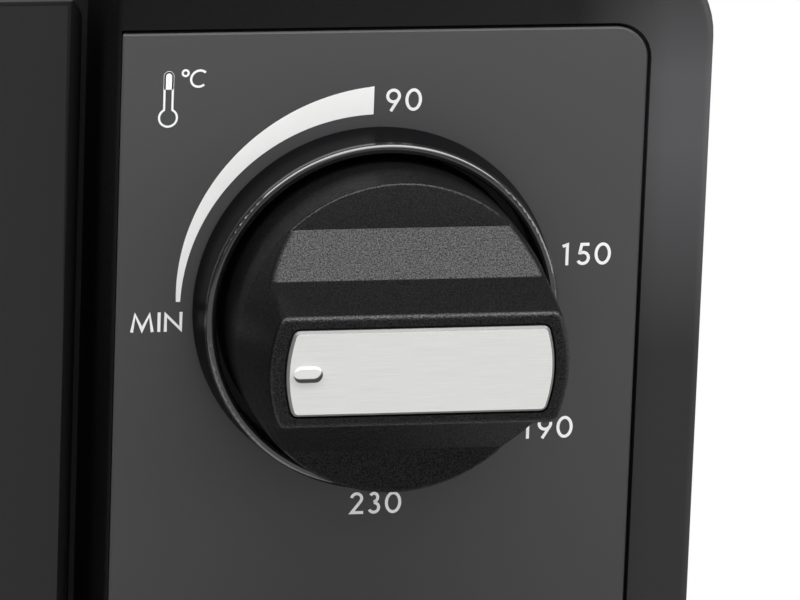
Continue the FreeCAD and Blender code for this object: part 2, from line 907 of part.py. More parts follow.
def wire_rack():
    """A welded grid: a round frame, wires from front to back on top of it and a raised stop at the rear."""
    x0 = cavity_left + rack_side_gap + rack_frame_radius
    x1 = cavity_right - rack_side_gap - rack_frame_radius
    y0 = y_frame_back + rack_front_gap + rack_frame_radius
    y1 = cavity_back - rack_rear_gap - rack_frame_radius
    z = rack_z
    corners = [Vector(x0, y0, z), Vector(x1, y0, z), Vector(x1, y1, z), Vector(x0, y1, z)]
    frame = closed_tube(corners, [rack_corner] * 4, rack_frame_radius)
    wires = []
    for i in range(rack_wire_count):
        x = x0 + (x1 - x0) * (i + 1) / (rack_wire_count + 1)
        wires.append(rod(Vector(x, y0 - 1.0, rack_wire_z), unit("y"), rack_wire_radius, y1 - y0 + 2.0))
    middle_z = z + 0.4
    for share in (0.33, 0.67):
        y = y0 + (y1 - y0) * share
        wires.append(rod(Vector(x0, y, middle_z), unit("x"), rack_wire_radius, x1 - x0))
    return frame.multiFuse(wires)


def baking_tray():
    """A deep-drawn tray with slanted walls and a flat rolled rim, standing on the rack."""
    middle_x = (cavity_left + cavity_right) / 2
    middle_y = (y_frame_back + cavity_back) / 2

    def ring(inset, z, corner):
        half_x = tray_width / 2 - inset
        half_y = tray_depth / 2 - inset
        points = in_plane(
            "z",
            [
                (middle_x - half_x, middle_y - half_y), (middle_x + half_x, middle_y - half_y),
                (middle_x + half_x, middle_y + half_y), (middle_x - half_x, middle_y + half_y),
            ],
            z,
        )
        return Part.Wire(rounded_edges(points, [corner] * 4, closed=True))

    top = tray_z + tray_height
    slope = tray_draft
    outer = Part.makeLoft(
        [ring(tray_rim + slope, tray_z, tray_foot_corner), ring(tray_rim, top, tray_corner)], True, True,
    )
    inner = Part.makeLoft(
        [
            ring(tray_rim + slope + sheet, tray_z + sheet, tray_foot_corner - sheet),
            ring(tray_rim + sheet, top + sheet, tray_corner - sheet),
        ],
        True, True,
    )
    rim = Part.Face(ring(0.0, top - sheet, tray_corner + tray_rim)).extrude(unit("z") * sheet)
    return outer.fuse(rim).cut(inner).removeSplitter()


def crumb_tray():
    """The crumb drawer: a shallow folded tray, with a front that closes its slot and a pull lip."""
    x0 = cavity_left + drawer_side_gap
    x1 = cavity_right - drawer_side_gap
    z0 = cavity_floor + running_gap
    y_face = y_frame - running_gap
    path = [
        (cavity_back - drawer_rear_gap, z0 + drawer_wall_height),
        (cavity_back - drawer_rear_gap, z0),
        (y_face - sheet, z0),
        (y_face - sheet, z0 + drawer_front_height),
        (y_face - drawer_lip, z0 + drawer_front_height),
        (y_face - drawer_lip, z0 + drawer_front_height - drawer_lip_turn),
    ]
    turned = [(-y, z) for y, z in path]
    bends = [0.0, drawer_bend, drawer_bend, 0.4, drawer_bend, 0.0]
    body = bent_sheet("x", turned, bends, sheet, x0, x1)
    body = body.mirror(Vector(0, 0, 0), unit("y"))
    sides = []
    for low in (x0, x1 - sheet):
        sides.append(block(low, low + sheet, y_frame_back + 1.0, cavity_back - drawer_rear_gap - 1.0,
                           z0, z0 + drawer_wall_height))
    front = block(x0 - drawer_front_overlap, x1 + drawer_front_overlap, y_face - sheet, y_face,
                  z0 + 1.5, z0 + drawer_front_height - 1.5)
    return body.fuse(sides + [front]).removeSplitter()


def door_outline():
    """The whole door as one block, rounded on every edge and half round about its hinge."""
    front_view = slab(
        "y", door_left, door_right, door_bottom, door_top, door_front, door_back,
        [0.0, 0.0, door_corner, door_corner],
    )
    half = door_thickness / 2
    side_view = profile(
        "x",
        [(door_back, door_bottom), (door_back, door_top), (door_front, door_top), (door_front, door_bottom)],
        [half * 0.999, 1.0, door_edge_round, half * 0.999], door_left, door_right,
    )
    top_view = profile(
        "z",
        [(door_left, door_front), (door_right, door_front), (door_right, door_back), (door_left, door_back)],
        [door_edge_round, door_edge_round, 0.8, 0.8], door_bottom, door_top,
    )
    return front_view.common(side_view).common(top_view)


def window_box(grow, y0, y1, corner):
    """A block over the door's window, grown on every side."""
    return slab(
        "y", door_left + stile_width - grow, door_right - stile_width + grow,
        door_bottom + bottom_rail_width - grow, door_top - top_rail_width + grow, y0, y1, corner,
    )


def door_frame():
    """The door's moulded frame, with a rebate for the glass and bores for the hinge pins."""
    rebate = glass_thickness + retainer_sheet
    window = window_box(0.0, door_front - 1.0, door_back + 1.0, window_corner)
    seat = window_box(glass_overlap + hole_clearance, door_back - rebate, door_back + 1.0,
                      window_corner + glass_overlap)
    retainer_seat = window_box(retainer_width + hole_clearance, door_back - retainer_sheet, door_back + 1.0,
                               window_corner + retainer_width)
    frame = door_outline().cut(window).cut(seat).cut(retainer_seat)
    inside_front = edges_where(
        frame,
        lambda p: abs(p.y - door_front) < 1e-6
        and door_left + stile_width - 1.0 < p.x < door_right - stile_width + 1.0
        and door_bottom + bottom_rail_width - 1.0 < p.z < door_top - top_rail_width + 1.0,
    )
    frame = frame.makeChamfer(window_bevel, inside_front)
    bores = []
    bore_depth = hinge_pin_depth + 1.0
    for start, way in ((door_left, 1.0), (door_right, -1.0)):
        end = Vector(start - way, hinge_y, hinge_z)
        bores.append(rod(end, unit("x") * way, hinge_pin_radius + shaft_clearance, bore_depth + 1.0))
    return frame.cut(Part.makeCompound(bores))


def door_glass():
    """A tempered pane in the frame's rebate."""
    y1 = door_back - retainer_sheet
    return window_box(glass_overlap, y1 - glass_thickness, y1, window_corner + glass_overlap)


def door_glass_retainer():
    """A thin steel ring that holds the pane from the inside."""
    y0 = door_back - retainer_sheet
    ring = window_box(retainer_width, y0, door_back, window_corner + retainer_width)
    return ring.cut(window_box(-1.0, y0 - 1.0, door_back + 1.0, window_corner))


def door_handle():
    """A tubular bar with slightly domed end caps."""
    x0 = handle_x - handle_length / 2
    bar = rod(Vector(x0, handle_y, handle_z), unit("x"), handle_radius, handle_length)
    ends = edges_where(bar, lambda p: abs(abs(p.x - handle_x) - handle_length / 2) < 1e-6)
    return bar.makeFillet(handle_end_round, ends)


def handle_posts():
    """Two waisted posts between the door and the bar, with a saddle cut to the bar's round."""
    posts = []
    for x in (handle_x - handle_length / 2 + post_from_end, handle_x + handle_length / 2 - post_from_end):
        reach = handle_reach
        outline = [
            (0.0, 0.0), (post_base_radius, 0.0), (post_base_radius, post_base_height),
            (post_neck_radius + 0.8, 4 * post_base_height),
            (post_neck_radius, reach * 0.5), (post_neck_radius, reach), (0.0, reach),
        ]
        points = [Vector(x + r, door_front - h, handle_z) for r, h in outline]
        face = Part.Face(Part.makePolygon(points + points[:1]))
        post = face.revolve(Vector(x, 0, handle_z), unit("y"), 360.0)
        bar = rod(Vector(x - 20.0, handle_y, handle_z), unit("x"), handle_radius, 40.0)
        posts.append(post.cut(bar))
    return posts


def hinge_brackets():
    """Two steel angles behind the front frame, whose ears reach through it and carry the pins."""
    brackets = []
    y_foot = y_frame_back + hinge_foot_sheet
    left, right = ear_x()
    for x, foot_x in ((left, left), (right, right + hinge_ear - hinge_foot_width)):
        ear = slab("x", hinge_y - hinge_ear_radius, y_foot, hinge_z - hinge_ear_radius,
                   hinge_z + hinge_ear_radius, x, x + hinge_ear, [hinge_ear_radius * 0.999, 0.0, 0.0,
                                                                  hinge_ear_radius * 0.999])
        foot = block(foot_x, foot_x + hinge_foot_width, y_frame_back, y_foot,
                     hinge_z - hinge_foot_half, hinge_z + hinge_foot_half)
        bracket = ear.fuse(foot).removeSplitter()
        bore = rod(Vector(x - 5.0, hinge_y, hinge_z), unit("x"), hinge_pin_radius, 10.0)
        brackets.append(bracket.cut(bore))
    return brackets


def hinge_pins():
    """The two pins on which the door turns, each with a flat head outside its ear."""
    pins = []
    left, right = ear_x()
    for outer, way in ((left, 1.0), (right + hinge_ear, -1.0)):
        length = hinge_ear + running_gap + hinge_pin_depth
        shank = rod(Vector(outer, hinge_y, hinge_z), unit("x") * way, hinge_pin_radius, length)
        head_radius = hinge_pin_radius + hinge_pin_head
        head = rod(Vector(outer, hinge_y, hinge_z), unit("x") * -way, head_radius, hinge_pin_head_thickness)
        pins.append(shank.fuse(head).removeSplitter())
    return pins


def sector(inner, outer, start, end):
    """A flat ring sector about the hinge in the YZ plane, with turns counted from the door to the rear."""
    def at(radius, turn):
        angle = math.radians(turn)
        return Vector(0.0, hinge_y + radius * math.sin(angle), hinge_z + radius * math.cos(angle))

    middle = (start + end) / 2
    edges = [
        Part.Arc(at(outer, start), at(outer, middle), at(outer, end)).toShape(),
        Part.makeLine(at(outer, end), at(inner, end)),
        Part.Arc(at(inner, end), at(inner, middle), at(inner, start)).toShape(),
        Part.makeLine(at(inner, start), at(outer, start)),
    ]
    return Part.Face(Part.Wire(edges)).extrude(Vector(hinge_ear, 0, 0))


def door_stays():
    """Two curved steel stays that slide through the front frame and stop the open door."""
    stays = []
    half = stay_width / 2
    left, right = stay_x()
    for x, foot_x in ((left, left), (right, right + hinge_ear - stay_foot)):
        arc = sector(stay_radius - half, stay_radius + half, 0.0, stay_turn)
        hook = sector(stay_radius - stay_hook_width / 2, stay_radius + stay_hook_width / 2,
                      stay_turn, stay_turn + stay_hook_turn)
        blade = arc.fuse(hook).removeSplitter()
        blade.translate(Vector(x, 0, 0))
        behind = block(x - 1.0, x + hinge_ear + 1.0, door_back, y_rear, z_bottom, z_top)
        foot = block(foot_x, foot_x + stay_foot, door_back, door_back + stay_foot_sheet,
                     hinge_z + stay_radius - half - stay_foot_margin,
                     hinge_z + stay_radius + half + stay_foot_margin)
        stays.append(blade.common(behind).fuse(foot).removeSplitter())
    return stays


def d_section(radius, flat, length):
    """A round bar with one flat, drawn along its axis."""
    bar = Part.makeCylinder(radius, length)
    return bar.common(block(-radius, radius, -flat, radius, 0.0, length))


def knob_body():
    """A turned skirt with a raised grip bar: two steep walls, each standing on a 45 degree ramp."""
    shoulder = knob_floor - knob_shoulder
    skirt_points = [
        Vector(0, 0, knob_lift), Vector(knob_radius, 0, knob_lift),
        Vector(knob_floor_radius, 0, knob_floor), Vector(0, 0, knob_floor),
    ]
    skirt_edges = rounded_edges(skirt_points, [0.0, knob_foot_round, knob_shoulder, 0.0], closed=True)
    skirt = Part.Face(Part.Wire(skirt_edges)).revolve(Vector(0, 0, 0), unit("z"), 360.0)
    ends = Part.makeCone(knob_floor_radius, grip_end_radius, grip_height - shoulder, Vector(0, 0, shoulder))
    half = [
        (ramp_foot, shoulder), (ramp_foot, knob_floor), (ramp_head, ramp_top),
        (grip_half_width, grip_height),
    ]
    section = half + [(-v, h) for v, h in half[::-1]]
    soft = [0.0, 0.0, ramp_round, 0.0]
    bar = profile("x", section, soft + soft[::-1], -knob_radius, knob_radius).common(ends)
    steep = edges_where(bar, lambda p: p.z > ramp_top and abs(p.x) > grip_end_radius / 2)
    upright = [edge for edge in steep if edge.BoundBox.ZLength > grip_edge_round]
    bar = bar.makeFillet(grip_corner_round, upright)
    on_top = edges_where(bar, lambda p: abs(p.z - grip_height) < 1e-6)
    bar = bar.makeFillet(grip_edge_round, on_top)
    body = skirt.fuse(bar).removeSplitter()
    body = body.cut(plate_blank(plate_gap, grip_height + plate_proud - plate_thickness, grip_height + 1.0))
    hollow_radius = knob_radius - knob_wall
    hollow = Part.makeCylinder(hollow_radius, knob_hollow_depth, Vector(0, 0, knob_lift))
    hollow = hollow.cut(Part.makeCylinder(hub_radius, knob_hollow_depth, Vector(0, 0, knob_lift)))
    for turn in (0.0, 90.0):
        rib = block(
            -hollow_radius, hollow_radius, -knob_rib / 2, knob_rib / 2, knob_lift + knob_rib_lift, knob_floor,
        )
        rib.rotate(Vector(0, 0, 0), unit("z"), turn)
        hollow = hollow.cut(rib)
    body = body.cut(hollow)
    bore = d_section(shaft_radius + shaft_clearance, shaft_flat + shaft_clearance, knob_bore_depth)
    return body.cut(bore)


def plate_blank(grow, low, high):
    """The plate's outline, straight along the grip and curved at its ends, between two heights."""
    ends = Part.makeCylinder(plate_length / 2 + grow, high - low, Vector(0, 0, low))
    half = plate_width / 2 + grow
    blank = ends.common(block(-plate_length, plate_length, -half, half, low, high))
    upright = [edge for edge in blank.Edges if abs(edge.tangentAt(edge.FirstParameter).z) > 0.99]
    return blank.makeFillet(plate_corner + grow, upright)


def knob_plate():
    """The bright plate let into the grip, with a raised pip that points at the scale."""
    blank = plate_blank(0.0, knob_height - plate_thickness, knob_height)
    rim = edges_where(blank, lambda p: abs(p.z - knob_height) < 1e-6)
    blank = blank.makeChamfer(plate_bevel, rim)
    pip = slab(
        "z", pip_from_axis - pip_length / 2, pip_from_axis + pip_length / 2, -pip_width / 2, pip_width / 2,
        knob_height - 0.3, knob_height + pip_height, pip_width * 0.499,
    )
    crown = edges_where(pip, lambda p: p.z > knob_height + pip_height - 1e-6)
    return blank.fuse(pip.makeFillet(pip_round, crown)).removeSplitter()


def bezel():
    """The glossy ring round a knob, with a rolled rim and pegs through the panel."""
    rim = (bezel_rim_radius - bezel_inner_radius) / 2
    points = [
        Vector(bezel_inner_radius, 0, 0), Vector(bezel_radius, 0, 0),
        Vector(bezel_rim_radius, 0, bezel_height), Vector(bezel_inner_radius, 0, bezel_height),
    ]
    edges = rounded_edges(points, [0.0, bezel_foot_round, rim * 0.93, rim * 0.93], closed=True)
    ring = Part.Face(Part.Wire(edges)).revolve(Vector(0, 0, 0), unit("z"), 360.0)
    depth = panel_thickness + block_floor + bezel_peg_reach
    root = 0.5
    pegs = []
    for dx, dy in peg_places():
        pegs.append(Part.makeCylinder(bezel_peg_radius, depth + root, Vector(dx, dy, -depth)))
    return ring.fuse(pegs).removeSplitter()


def control_shaft():
    """The control's spindle: round in its neck and flatted where the knob is pushed on."""
    inside = y_bracket_back + shaft_behind_bracket - y_block
    bar = Part.makeCylinder(shaft_radius, inside, Vector(0, 0, -inside))
    flatted = d_section(shaft_radius, shaft_flat, knob_bore_depth - 1.0)
    return bar.fuse(flatted).removeSplitter()


def control_body(width, height, depth, corner):
    """One control's housing and neck behind the bracket, the tool for its shaft bore, and its rear level."""
    back = y_block - y_bracket_back
    housing = slab("z", -width / 2, width / 2, -height / 2, height / 2, back - depth, back, corner)
    neck = Part.makeCylinder(neck_radius, neck_length, Vector(0, 0, back))
    bore_start = back - shaft_behind_bracket - 1.0
    bore_length = back + neck_length + 1.0 - bore_start
    bore = Part.makeCylinder(shaft_radius + shaft_clearance, bore_length, Vector(0, 0, bore_start))
    return housing.fuse(neck), bore, back - depth


def terminals(count, width, y, back, length):
    """A row of flat push-on terminals at the rear of a control."""
    tabs = []
    for i in range(count):
        x = (i - (count - 1) / 2) * width / count
        tabs.append(
            block(
                x - terminal_width / 2, x + terminal_width / 2, y - terminal_sheet / 2, y + terminal_sheet / 2,
                back - length, back + 1.0,
            )
        )
    return tabs


def thermostat():
    """A rotary thermostat: a moulded body with a round bellows cup and two terminals."""
    body, bore, back = control_body(thermostat_width, thermostat_height, thermostat_depth, 3.0)
    cup = Part.makeCylinder(bellows_radius, bellows_depth, Vector(0, 0, back - bellows_depth))
    tabs = terminals(2, thermostat_width + 6.0, 2.5 - thermostat_height / 2, back, 8.0)
    body = body.fuse([cup] + tabs).removeSplitter().cut(bore)
    return on_panel(body, knob_x, knob_z[0], 0.0)


def function_switch():
    """A rotary selector switch: a stack of two wafers with a row of terminals on each side."""
    half = switch_width / 2
    corner = 0.4 * half
    body, bore, back = control_body(switch_width, switch_width, wafer_depth, corner)
    waist = Part.makeCylinder(wafer_waist, wafer_gap, Vector(0, 0, back - wafer_gap))
    rear = back - wafer_gap - wafer_depth
    second = slab("z", -half, half, -half, half, rear, back - wafer_gap, corner)
    tabs = []
    for y in (0.75 * half, -0.75 * half):
        tabs += terminals(3, 0.85 * switch_width, y, rear, 7.0)
    body = body.fuse([waist, second] + tabs).removeSplitter().cut(bore)
    return on_panel(body, knob_x, knob_z[1], 0.0)


def timer():
    """A clockwork timer: two plates with the spring drum between them."""
    corner = timer_post_inset
    body, bore, back = control_body(timer_width, timer_height, timer_plate, corner)
    drum_back = back - timer_drum_depth
    drum = Part.makeCylinder(timer_drum_radius, timer_drum_depth, Vector(0, 0, drum_back))
    half_width = timer_width / 2
    half_height = timer_height / 2
    rear = slab(
        "z", -half_width, half_width, -half_height, half_height, drum_back - timer_plate, drum_back, corner,
    )
    posts = []
    for x in (timer_post_inset - half_width, half_width - timer_post_inset):
        for y in (timer_post_inset - half_height, half_height - timer_post_inset):
            start = Vector(x, y, drum_back - 0.2)
            posts.append(Part.makeCylinder(timer_post_radius, timer_drum_depth + 0.5, start))
    tabs = terminals(2, timer_width - 6.0, 10.0 - half_height, drum_back - timer_plate, 8.0)
    body = body.fuse([drum, rear] + posts + tabs).removeSplitter().cut(bore)
    return on_panel(body, knob_x, knob_z[2], 0.0)


def timer_bell():
    """The bell that the timer strikes, on a stem behind its rear plate."""
    back = y_block - y_bracket_back - timer_drum_depth - 2 * timer_plate
    stem = timer_post_radius
    outline = [
        (0.0, 0.0), (stem, 0.0), (stem, -7.0), (bell_radius - 3.6, -7.6), (bell_radius - 1.1, -3.6),
        (bell_radius, -3.6), (bell_radius - 2.6, -8.8), (stem, -8.6), (stem, -9.6), (0.0, -9.6),
    ]
    points = [Vector(r, 0.0, back + h) for r, h in outline]
    face = Part.Face(Part.makePolygon(points + points[:1]))
    bell = face.revolve(Vector(0, 0, 0), unit("z"), 360.0)
    bell.translate(Vector(0, 6.0, 0))
    return on_panel(bell, knob_x, knob_z[2], 0.0)


def control_nuts():
    """The flat nuts that hold the three controls on their bracket."""
    nuts = []
    radius = nut_across_flats / 2 / math.cos(math.radians(30.0))
    y0 = y_frame_back - nut_thickness
    for z in knob_z:
        pairs = [
            (knob_x + radius * math.cos(math.radians(60.0 * i)), z + radius * math.sin(math.radians(60.0 * i)))
            for i in range(6)
        ]
        nut = profile("y", pairs, 0.0, y0, y_frame_back)
        bore = neck_radius + shaft_clearance
        hole = rod(Vector(knob_x, y0 - 1.0, z), unit("y"), bore, nut_thickness + 2.0)
        nuts.append(nut.cut(hole))
    return nuts


def thermostat_bulb():
    """The thermostat's sensing bulb in the cavity, and the capillary that leads to its bellows."""
    bulb = rod(Vector(bulb_x, bulb_y, bulb_z), unit("y"), bulb_radius, bulb_length)
    bulb = bulb.makeFillet(1.0, [edge for edge in bulb.Edges if len(edge.Vertexes) == 1])
    end_y = y_bracket_back + thermostat_depth + bellows_depth
    points = [
        Vector(bulb_x, bulb_y + bulb_length - 2.0, bulb_z),
        Vector(bulb_x, capillary_y, bulb_z),
        Vector(knob_x, capillary_y, bulb_z),
        Vector(knob_x, end_y, bulb_z),
    ]
    lead = tube_along(points, [0.0, 5.0, 20.0, 0.0], capillary_radius)
    return bulb.fuse(lead).removeSplitter()


def bulb_clips():
    """Two small steel clips that hold the bulb to the cavity's wall."""
    clips = []
    high = bulb_z - bulb_radius - 0.1
    low = high - clip_sheet
    for share in (0.25, 0.75):
        y0 = bulb_y + bulb_length * share - clip_width / 2
        y1 = y0 + clip_width
        arm = block(bulb_x - clip_sheet, cavity_right, y0, y1, low, high)
        back = block(cavity_right - clip_sheet, cavity_right, y0, y1, high - 1.5 * clip_width, high)
        clips.append(arm.fuse(back).removeSplitter())
    return clips


def indicator_lens():
    """The pilot light's clear cap, a domed plug in the panel."""
    depth = panel_thickness + block_floor + 0.4
    plug = Part.makeCylinder(lamp_radius, depth + lamp_dome - 0.4, Vector(0, 0, -depth))
    crown = edges_where(plug, lambda p: p.z > 0.5)
    plug = plug.makeFillet(0.9, crown)
    return on_panel(plug, knob_x, lamp_z, 0.0)


def indicator_lamp():
    """The neon lamp behind the cap, in a sleeve that stands in the bracket."""
    back = y_block - y_bracket_back
    front = -(panel_thickness + block_floor) - 1.2
    tail = 8.0
    sleeve = Part.makeCylinder(lamp_sleeve_radius, front - back + tail, Vector(0, 0, back - tail))
    collar = Part.makeCylinder(lamp_collar_radius, 2.0, Vector(0, 0, back - 2.0))
    return on_panel(sleeve.fuse(collar).removeSplitter(), knob_x, lamp_z, 0.0)


def terminal_block():
    """A three-way terminal block on the base, near the cord's gland."""
    y = y_rear - terminal_block_from_rear
    z = z_bottom + 2 * sheet
    half_width = terminal_block_width / 2
    half_depth = terminal_block_depth / 2
    top = z + terminal_block_height
    base = block(knob_x - half_width, knob_x + half_width, y - half_depth, y + half_depth, z, top)
    tops = []
    wells = []
    for i in range(terminal_block_ways):
        x = knob_x + (i - (terminal_block_ways - 1) / 2) * terminal_pitch
        tops.append(slab("z", x - 5.0, x + 5.0, y - 8.0, y + 8.0, top - 1.0, top + 6.0, 2.0))
        for side in (-5.0, 5.0):
            wells.append(rod(Vector(x, y + side, top + 3.0), unit("z"), 2.0, 4.0))
    return base.fuse(tops).removeSplitter().cut(Part.makeCompound(wells))


def build():
    """Makes every piece and writes it."""
    os.makedirs("parts", exist_ok=True)
    save("outer_shell", outer_shell())
    save("base_plate", base_plate())
    save("rear_panel", rear_panel())
    save("front_frame", front_frame())
    save("control_fascia", control_fascia())
    save("control_panel", control_panel())
    save("control_bracket", control_bracket())
    save("heat_shield", heat_shield())
    save("cavity_left_wall", cavity_side(cavity_left, 1.0))
    save("cavity_right_wall", cavity_side(cavity_right, -1.0))
    save("cavity_roof", cavity_top_sheet())
    save("cavity_back_wall", cavity_back_sheet())
    save("cavity_floor", cavity_floor_sheet())
    save("upper_heating_elements", heating_elements(upper_element_z))
    save("lower_heating_elements", heating_elements(lower_element_z))
    save("element_insulators", element_insulators())
    save("wire_rack", wire_rack())
    save("baking_tray", baking_tray())
    save("crumb_tray", crumb_tray())
    save("door_frame", door_frame())
    save("door_glass", door_glass())
    save("door_glass_retainer", door_glass_retainer())
    save("door_handle", door_handle())
    save("handle_posts", handle_posts())
    save("hinge_brackets", hinge_brackets())
    save("hinge_pins", hinge_pins())
    save("door_stays", door_stays())
    ring = bezel()
    body = knob_body()
    plate = knob_plate()
    shaft = control_shaft()
    for name, z, pointer in zip(("temperature", "function", "timer"), knob_z, (180.0, 90.0, 90.0)):
        save(name + "_bezel", on_panel(ring, knob_x, z, 0.0))
        save(name + "_knob", on_panel(body, knob_x, z, pointer))
        save(name + "_knob_plate", on_panel(plate, knob_x, z, pointer))
        save(name + "_shaft", on_panel(shaft, knob_x, z, pointer))
    save("thermostat", thermostat())
    save("thermostat_bulb", thermostat_bulb())
    save("bulb_clips", bulb_clips())
    save("function_switch", function_switch())
    save("timer", timer())
    save("timer_bell", timer_bell())
    save("control_nuts", control_nuts())
    save("indicator_lens", indicator_lens())
    save("indicator_lamp", indicator_lamp())
    save("terminal_block", terminal_block())
    save("cord_gland", cord_gland())
    save("wall_spacers", wall_spacers())
    save("feet", feet())
    save("foot_pads", foot_pads())


build()
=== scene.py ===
"""Finishes, prints and small fasteners of a countertop oven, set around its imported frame.

Lengths are metres, and MM turns a size in millimetres into one. The front faces -Y and +Z is up.
"""

import math

import bmesh
import bpy
from mathutils import Matrix, Vector


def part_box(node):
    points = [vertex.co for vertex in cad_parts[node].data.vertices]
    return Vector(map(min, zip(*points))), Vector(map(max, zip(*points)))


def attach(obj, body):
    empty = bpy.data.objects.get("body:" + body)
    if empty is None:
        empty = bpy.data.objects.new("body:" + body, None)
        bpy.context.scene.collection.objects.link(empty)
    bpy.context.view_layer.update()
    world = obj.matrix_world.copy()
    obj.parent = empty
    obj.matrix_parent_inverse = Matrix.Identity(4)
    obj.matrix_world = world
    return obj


bl_info = {
    "name": "Countertop oven",
    "version": (1, 0, 0),
    "blender": (4, 5, 0),
    "location": "View3D > Sidebar > Oven",
    "description": "Finishes, prints and fasteners of a countertop oven",
    "category": "Object",
}

MM = 0.001
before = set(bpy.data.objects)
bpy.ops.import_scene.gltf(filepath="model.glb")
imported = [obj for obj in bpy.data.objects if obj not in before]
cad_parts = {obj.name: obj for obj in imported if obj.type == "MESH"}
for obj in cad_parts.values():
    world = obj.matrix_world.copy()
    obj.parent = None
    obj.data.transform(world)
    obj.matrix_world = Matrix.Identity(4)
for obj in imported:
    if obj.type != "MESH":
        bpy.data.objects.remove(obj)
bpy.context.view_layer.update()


def middle(node):
    """The middle of a frame node's box."""
    low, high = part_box(node)
    return (Vector(low) + Vector(high)) / 2


PANEL_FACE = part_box("control_panel")[0][1]
TEMPERATURE_AXIS = middle("temperature_bezel")
FUNCTION_AXIS = middle("function_bezel")
TIMER_AXIS = middle("timer_bezel")
LAMP_AXIS = middle("indicator_lens")


# Settings that a user would change


class OvenColours(bpy.types.PropertyGroup):
    """The finishes' colours."""

    panel: bpy.props.FloatVectorProperty(
        name="Panel", description="Satin coating of the control panel", subtype="COLOR",
        default=(0.064, 0.064, 0.066), min=0.0, max=1.0,
    )
    moulding: bpy.props.FloatVectorProperty(
        name="Control block", description="Grained black plastic round the panel", subtype="COLOR",
        default=(0.004, 0.004, 0.0042), min=0.0, max=1.0,
    )
    knob: bpy.props.FloatVectorProperty(
        name="Knobs", description="Matt black plastic of the knobs", subtype="COLOR",
        default=(0.0042, 0.0042, 0.0044), min=0.0, max=1.0,
    )
    bezel: bpy.props.FloatVectorProperty(
        name="Bezels", description="Polished black plastic rings", subtype="COLOR",
        default=(0.004, 0.004, 0.0045), min=0.0, max=1.0,
    )
    plate: bpy.props.FloatVectorProperty(
        name="Knob plates", description="Brushed metal let into the grips", subtype="COLOR",
        default=(0.88, 0.88, 0.865), min=0.0, max=1.0,
    )
    ink: bpy.props.FloatVectorProperty(
        name="Print", description="White ink on the panel", subtype="COLOR",
        default=(0.94, 0.94, 0.93), min=0.0, max=1.0,
    )
    paint: bpy.props.FloatVectorProperty(
        name="Body paint", description="Baked paint of the steel shell", subtype="COLOR",
        default=(0.022, 0.022, 0.023), min=0.0, max=1.0,
    )
    backdrop: bpy.props.FloatVectorProperty(
        name="Backdrop", description="Pale floor and background", subtype="COLOR",
        default=(1.0, 1.0, 1.0), min=0.0, max=1.0,
    )


class OvenPrint(bpy.types.PropertyGroup):
    """Sizes of the white print round the knobs."""

    numeral_height: bpy.props.FloatProperty(
        name="Numeral height", description="Height of the numbers", unit="LENGTH", default=3.2 * MM,
    )
    word_height: bpy.props.FloatProperty(
        name="Word height", description="Height of the capital letters", unit="LENGTH", default=2.8 * MM,
    )
    stroke: bpy.props.FloatProperty(
        name="Stroke", description="Width of the strokes", unit="LENGTH", default=0.43 * MM,
    )
    fine_stroke: bpy.props.FloatProperty(
        name="Fine stroke", description="Width of the sign's outlines", unit="LENGTH", default=0.29 * MM,
    )
    wedge_radius: bpy.props.FloatProperty(
        name="Wedge radius", description="Inner radius of the growing wedge", unit="LENGTH",
        default=27.3 * MM,
    )
    wedge_start: bpy.props.FloatProperty(
        name="Wedge start", description="Width of the wedge at its thin end", unit="LENGTH",
        default=0.6 * MM,
    )
    wedge_end: bpy.props.FloatProperty(
        name="Wedge end", description="Width of the wedge at its broad end", unit="LENGTH",
        default=4.0 * MM,
    )


class OvenStage(bpy.types.PropertyGroup):
    """Camera and light."""

    azimuth: bpy.props.FloatProperty(
        name="Azimuth", description="Camera's turn about the oven, from straight in front",
        subtype="ANGLE", default=math.radians(-12.2),
    )
    elevation: bpy.props.FloatProperty(
        name="Elevation", description="Camera's height above the horizon", subtype="ANGLE",
        default=math.radians(16.0),
    )
    roll: bpy.props.FloatProperty(
        name="Roll", description="Camera's turn about its own axis", subtype="ANGLE",
        default=math.radians(2.1),
    )
    distance: bpy.props.FloatProperty(
        name="Distance", description="From the camera to the panel", unit="LENGTH", default=1.05,
    )
    view_width: bpy.props.FloatProperty(
        name="View width", description="Width of the view at the panel", unit="LENGTH",
        default=111.3 * MM,
    )
    aim_right: bpy.props.FloatProperty(
        name="Aim right", description="Where the view's middle lies, right of the upper knob's axis",
        unit="LENGTH", default=3.8 * MM,
    )
    aim_up: bpy.props.FloatProperty(
        name="Aim up", description="Where the view's middle lies, above the upper knob's axis",
        unit="LENGTH", default=0.5 * MM,
    )
    key_power: bpy.props.FloatProperty(
        name="Key light", description="Power of the long soft light above the front", unit="POWER",
        default=6.0,
    )
    fill_power: bpy.props.FloatProperty(
        name="Fill light", description="Power of the large soft light in front", unit="POWER", default=2.5,
    )
    side_power: bpy.props.FloatProperty(
        name="Side light", description="Power of the low soft light at the right", unit="POWER", default=3.0,
    )
    ambient: bpy.props.FloatProperty(
        name="Ambient", description="Strength of the even light from all round", default=0.55,
    )


# Material building blocks


def new_finish(name, colour, roughness, metallic=0.0):
    """A material with its even values on the shader's own sockets."""
    material = bpy.data.materials.new(name)
    material.use_nodes = True
    shader = material.node_tree.nodes["Principled BSDF"]
    shader.inputs["Base Color"].default_value = (*colour[:3], 1.0)
    shader.inputs["Roughness"].default_value = roughness
    shader.inputs["Metallic"].default_value = metallic
    return material, material.node_tree, shader


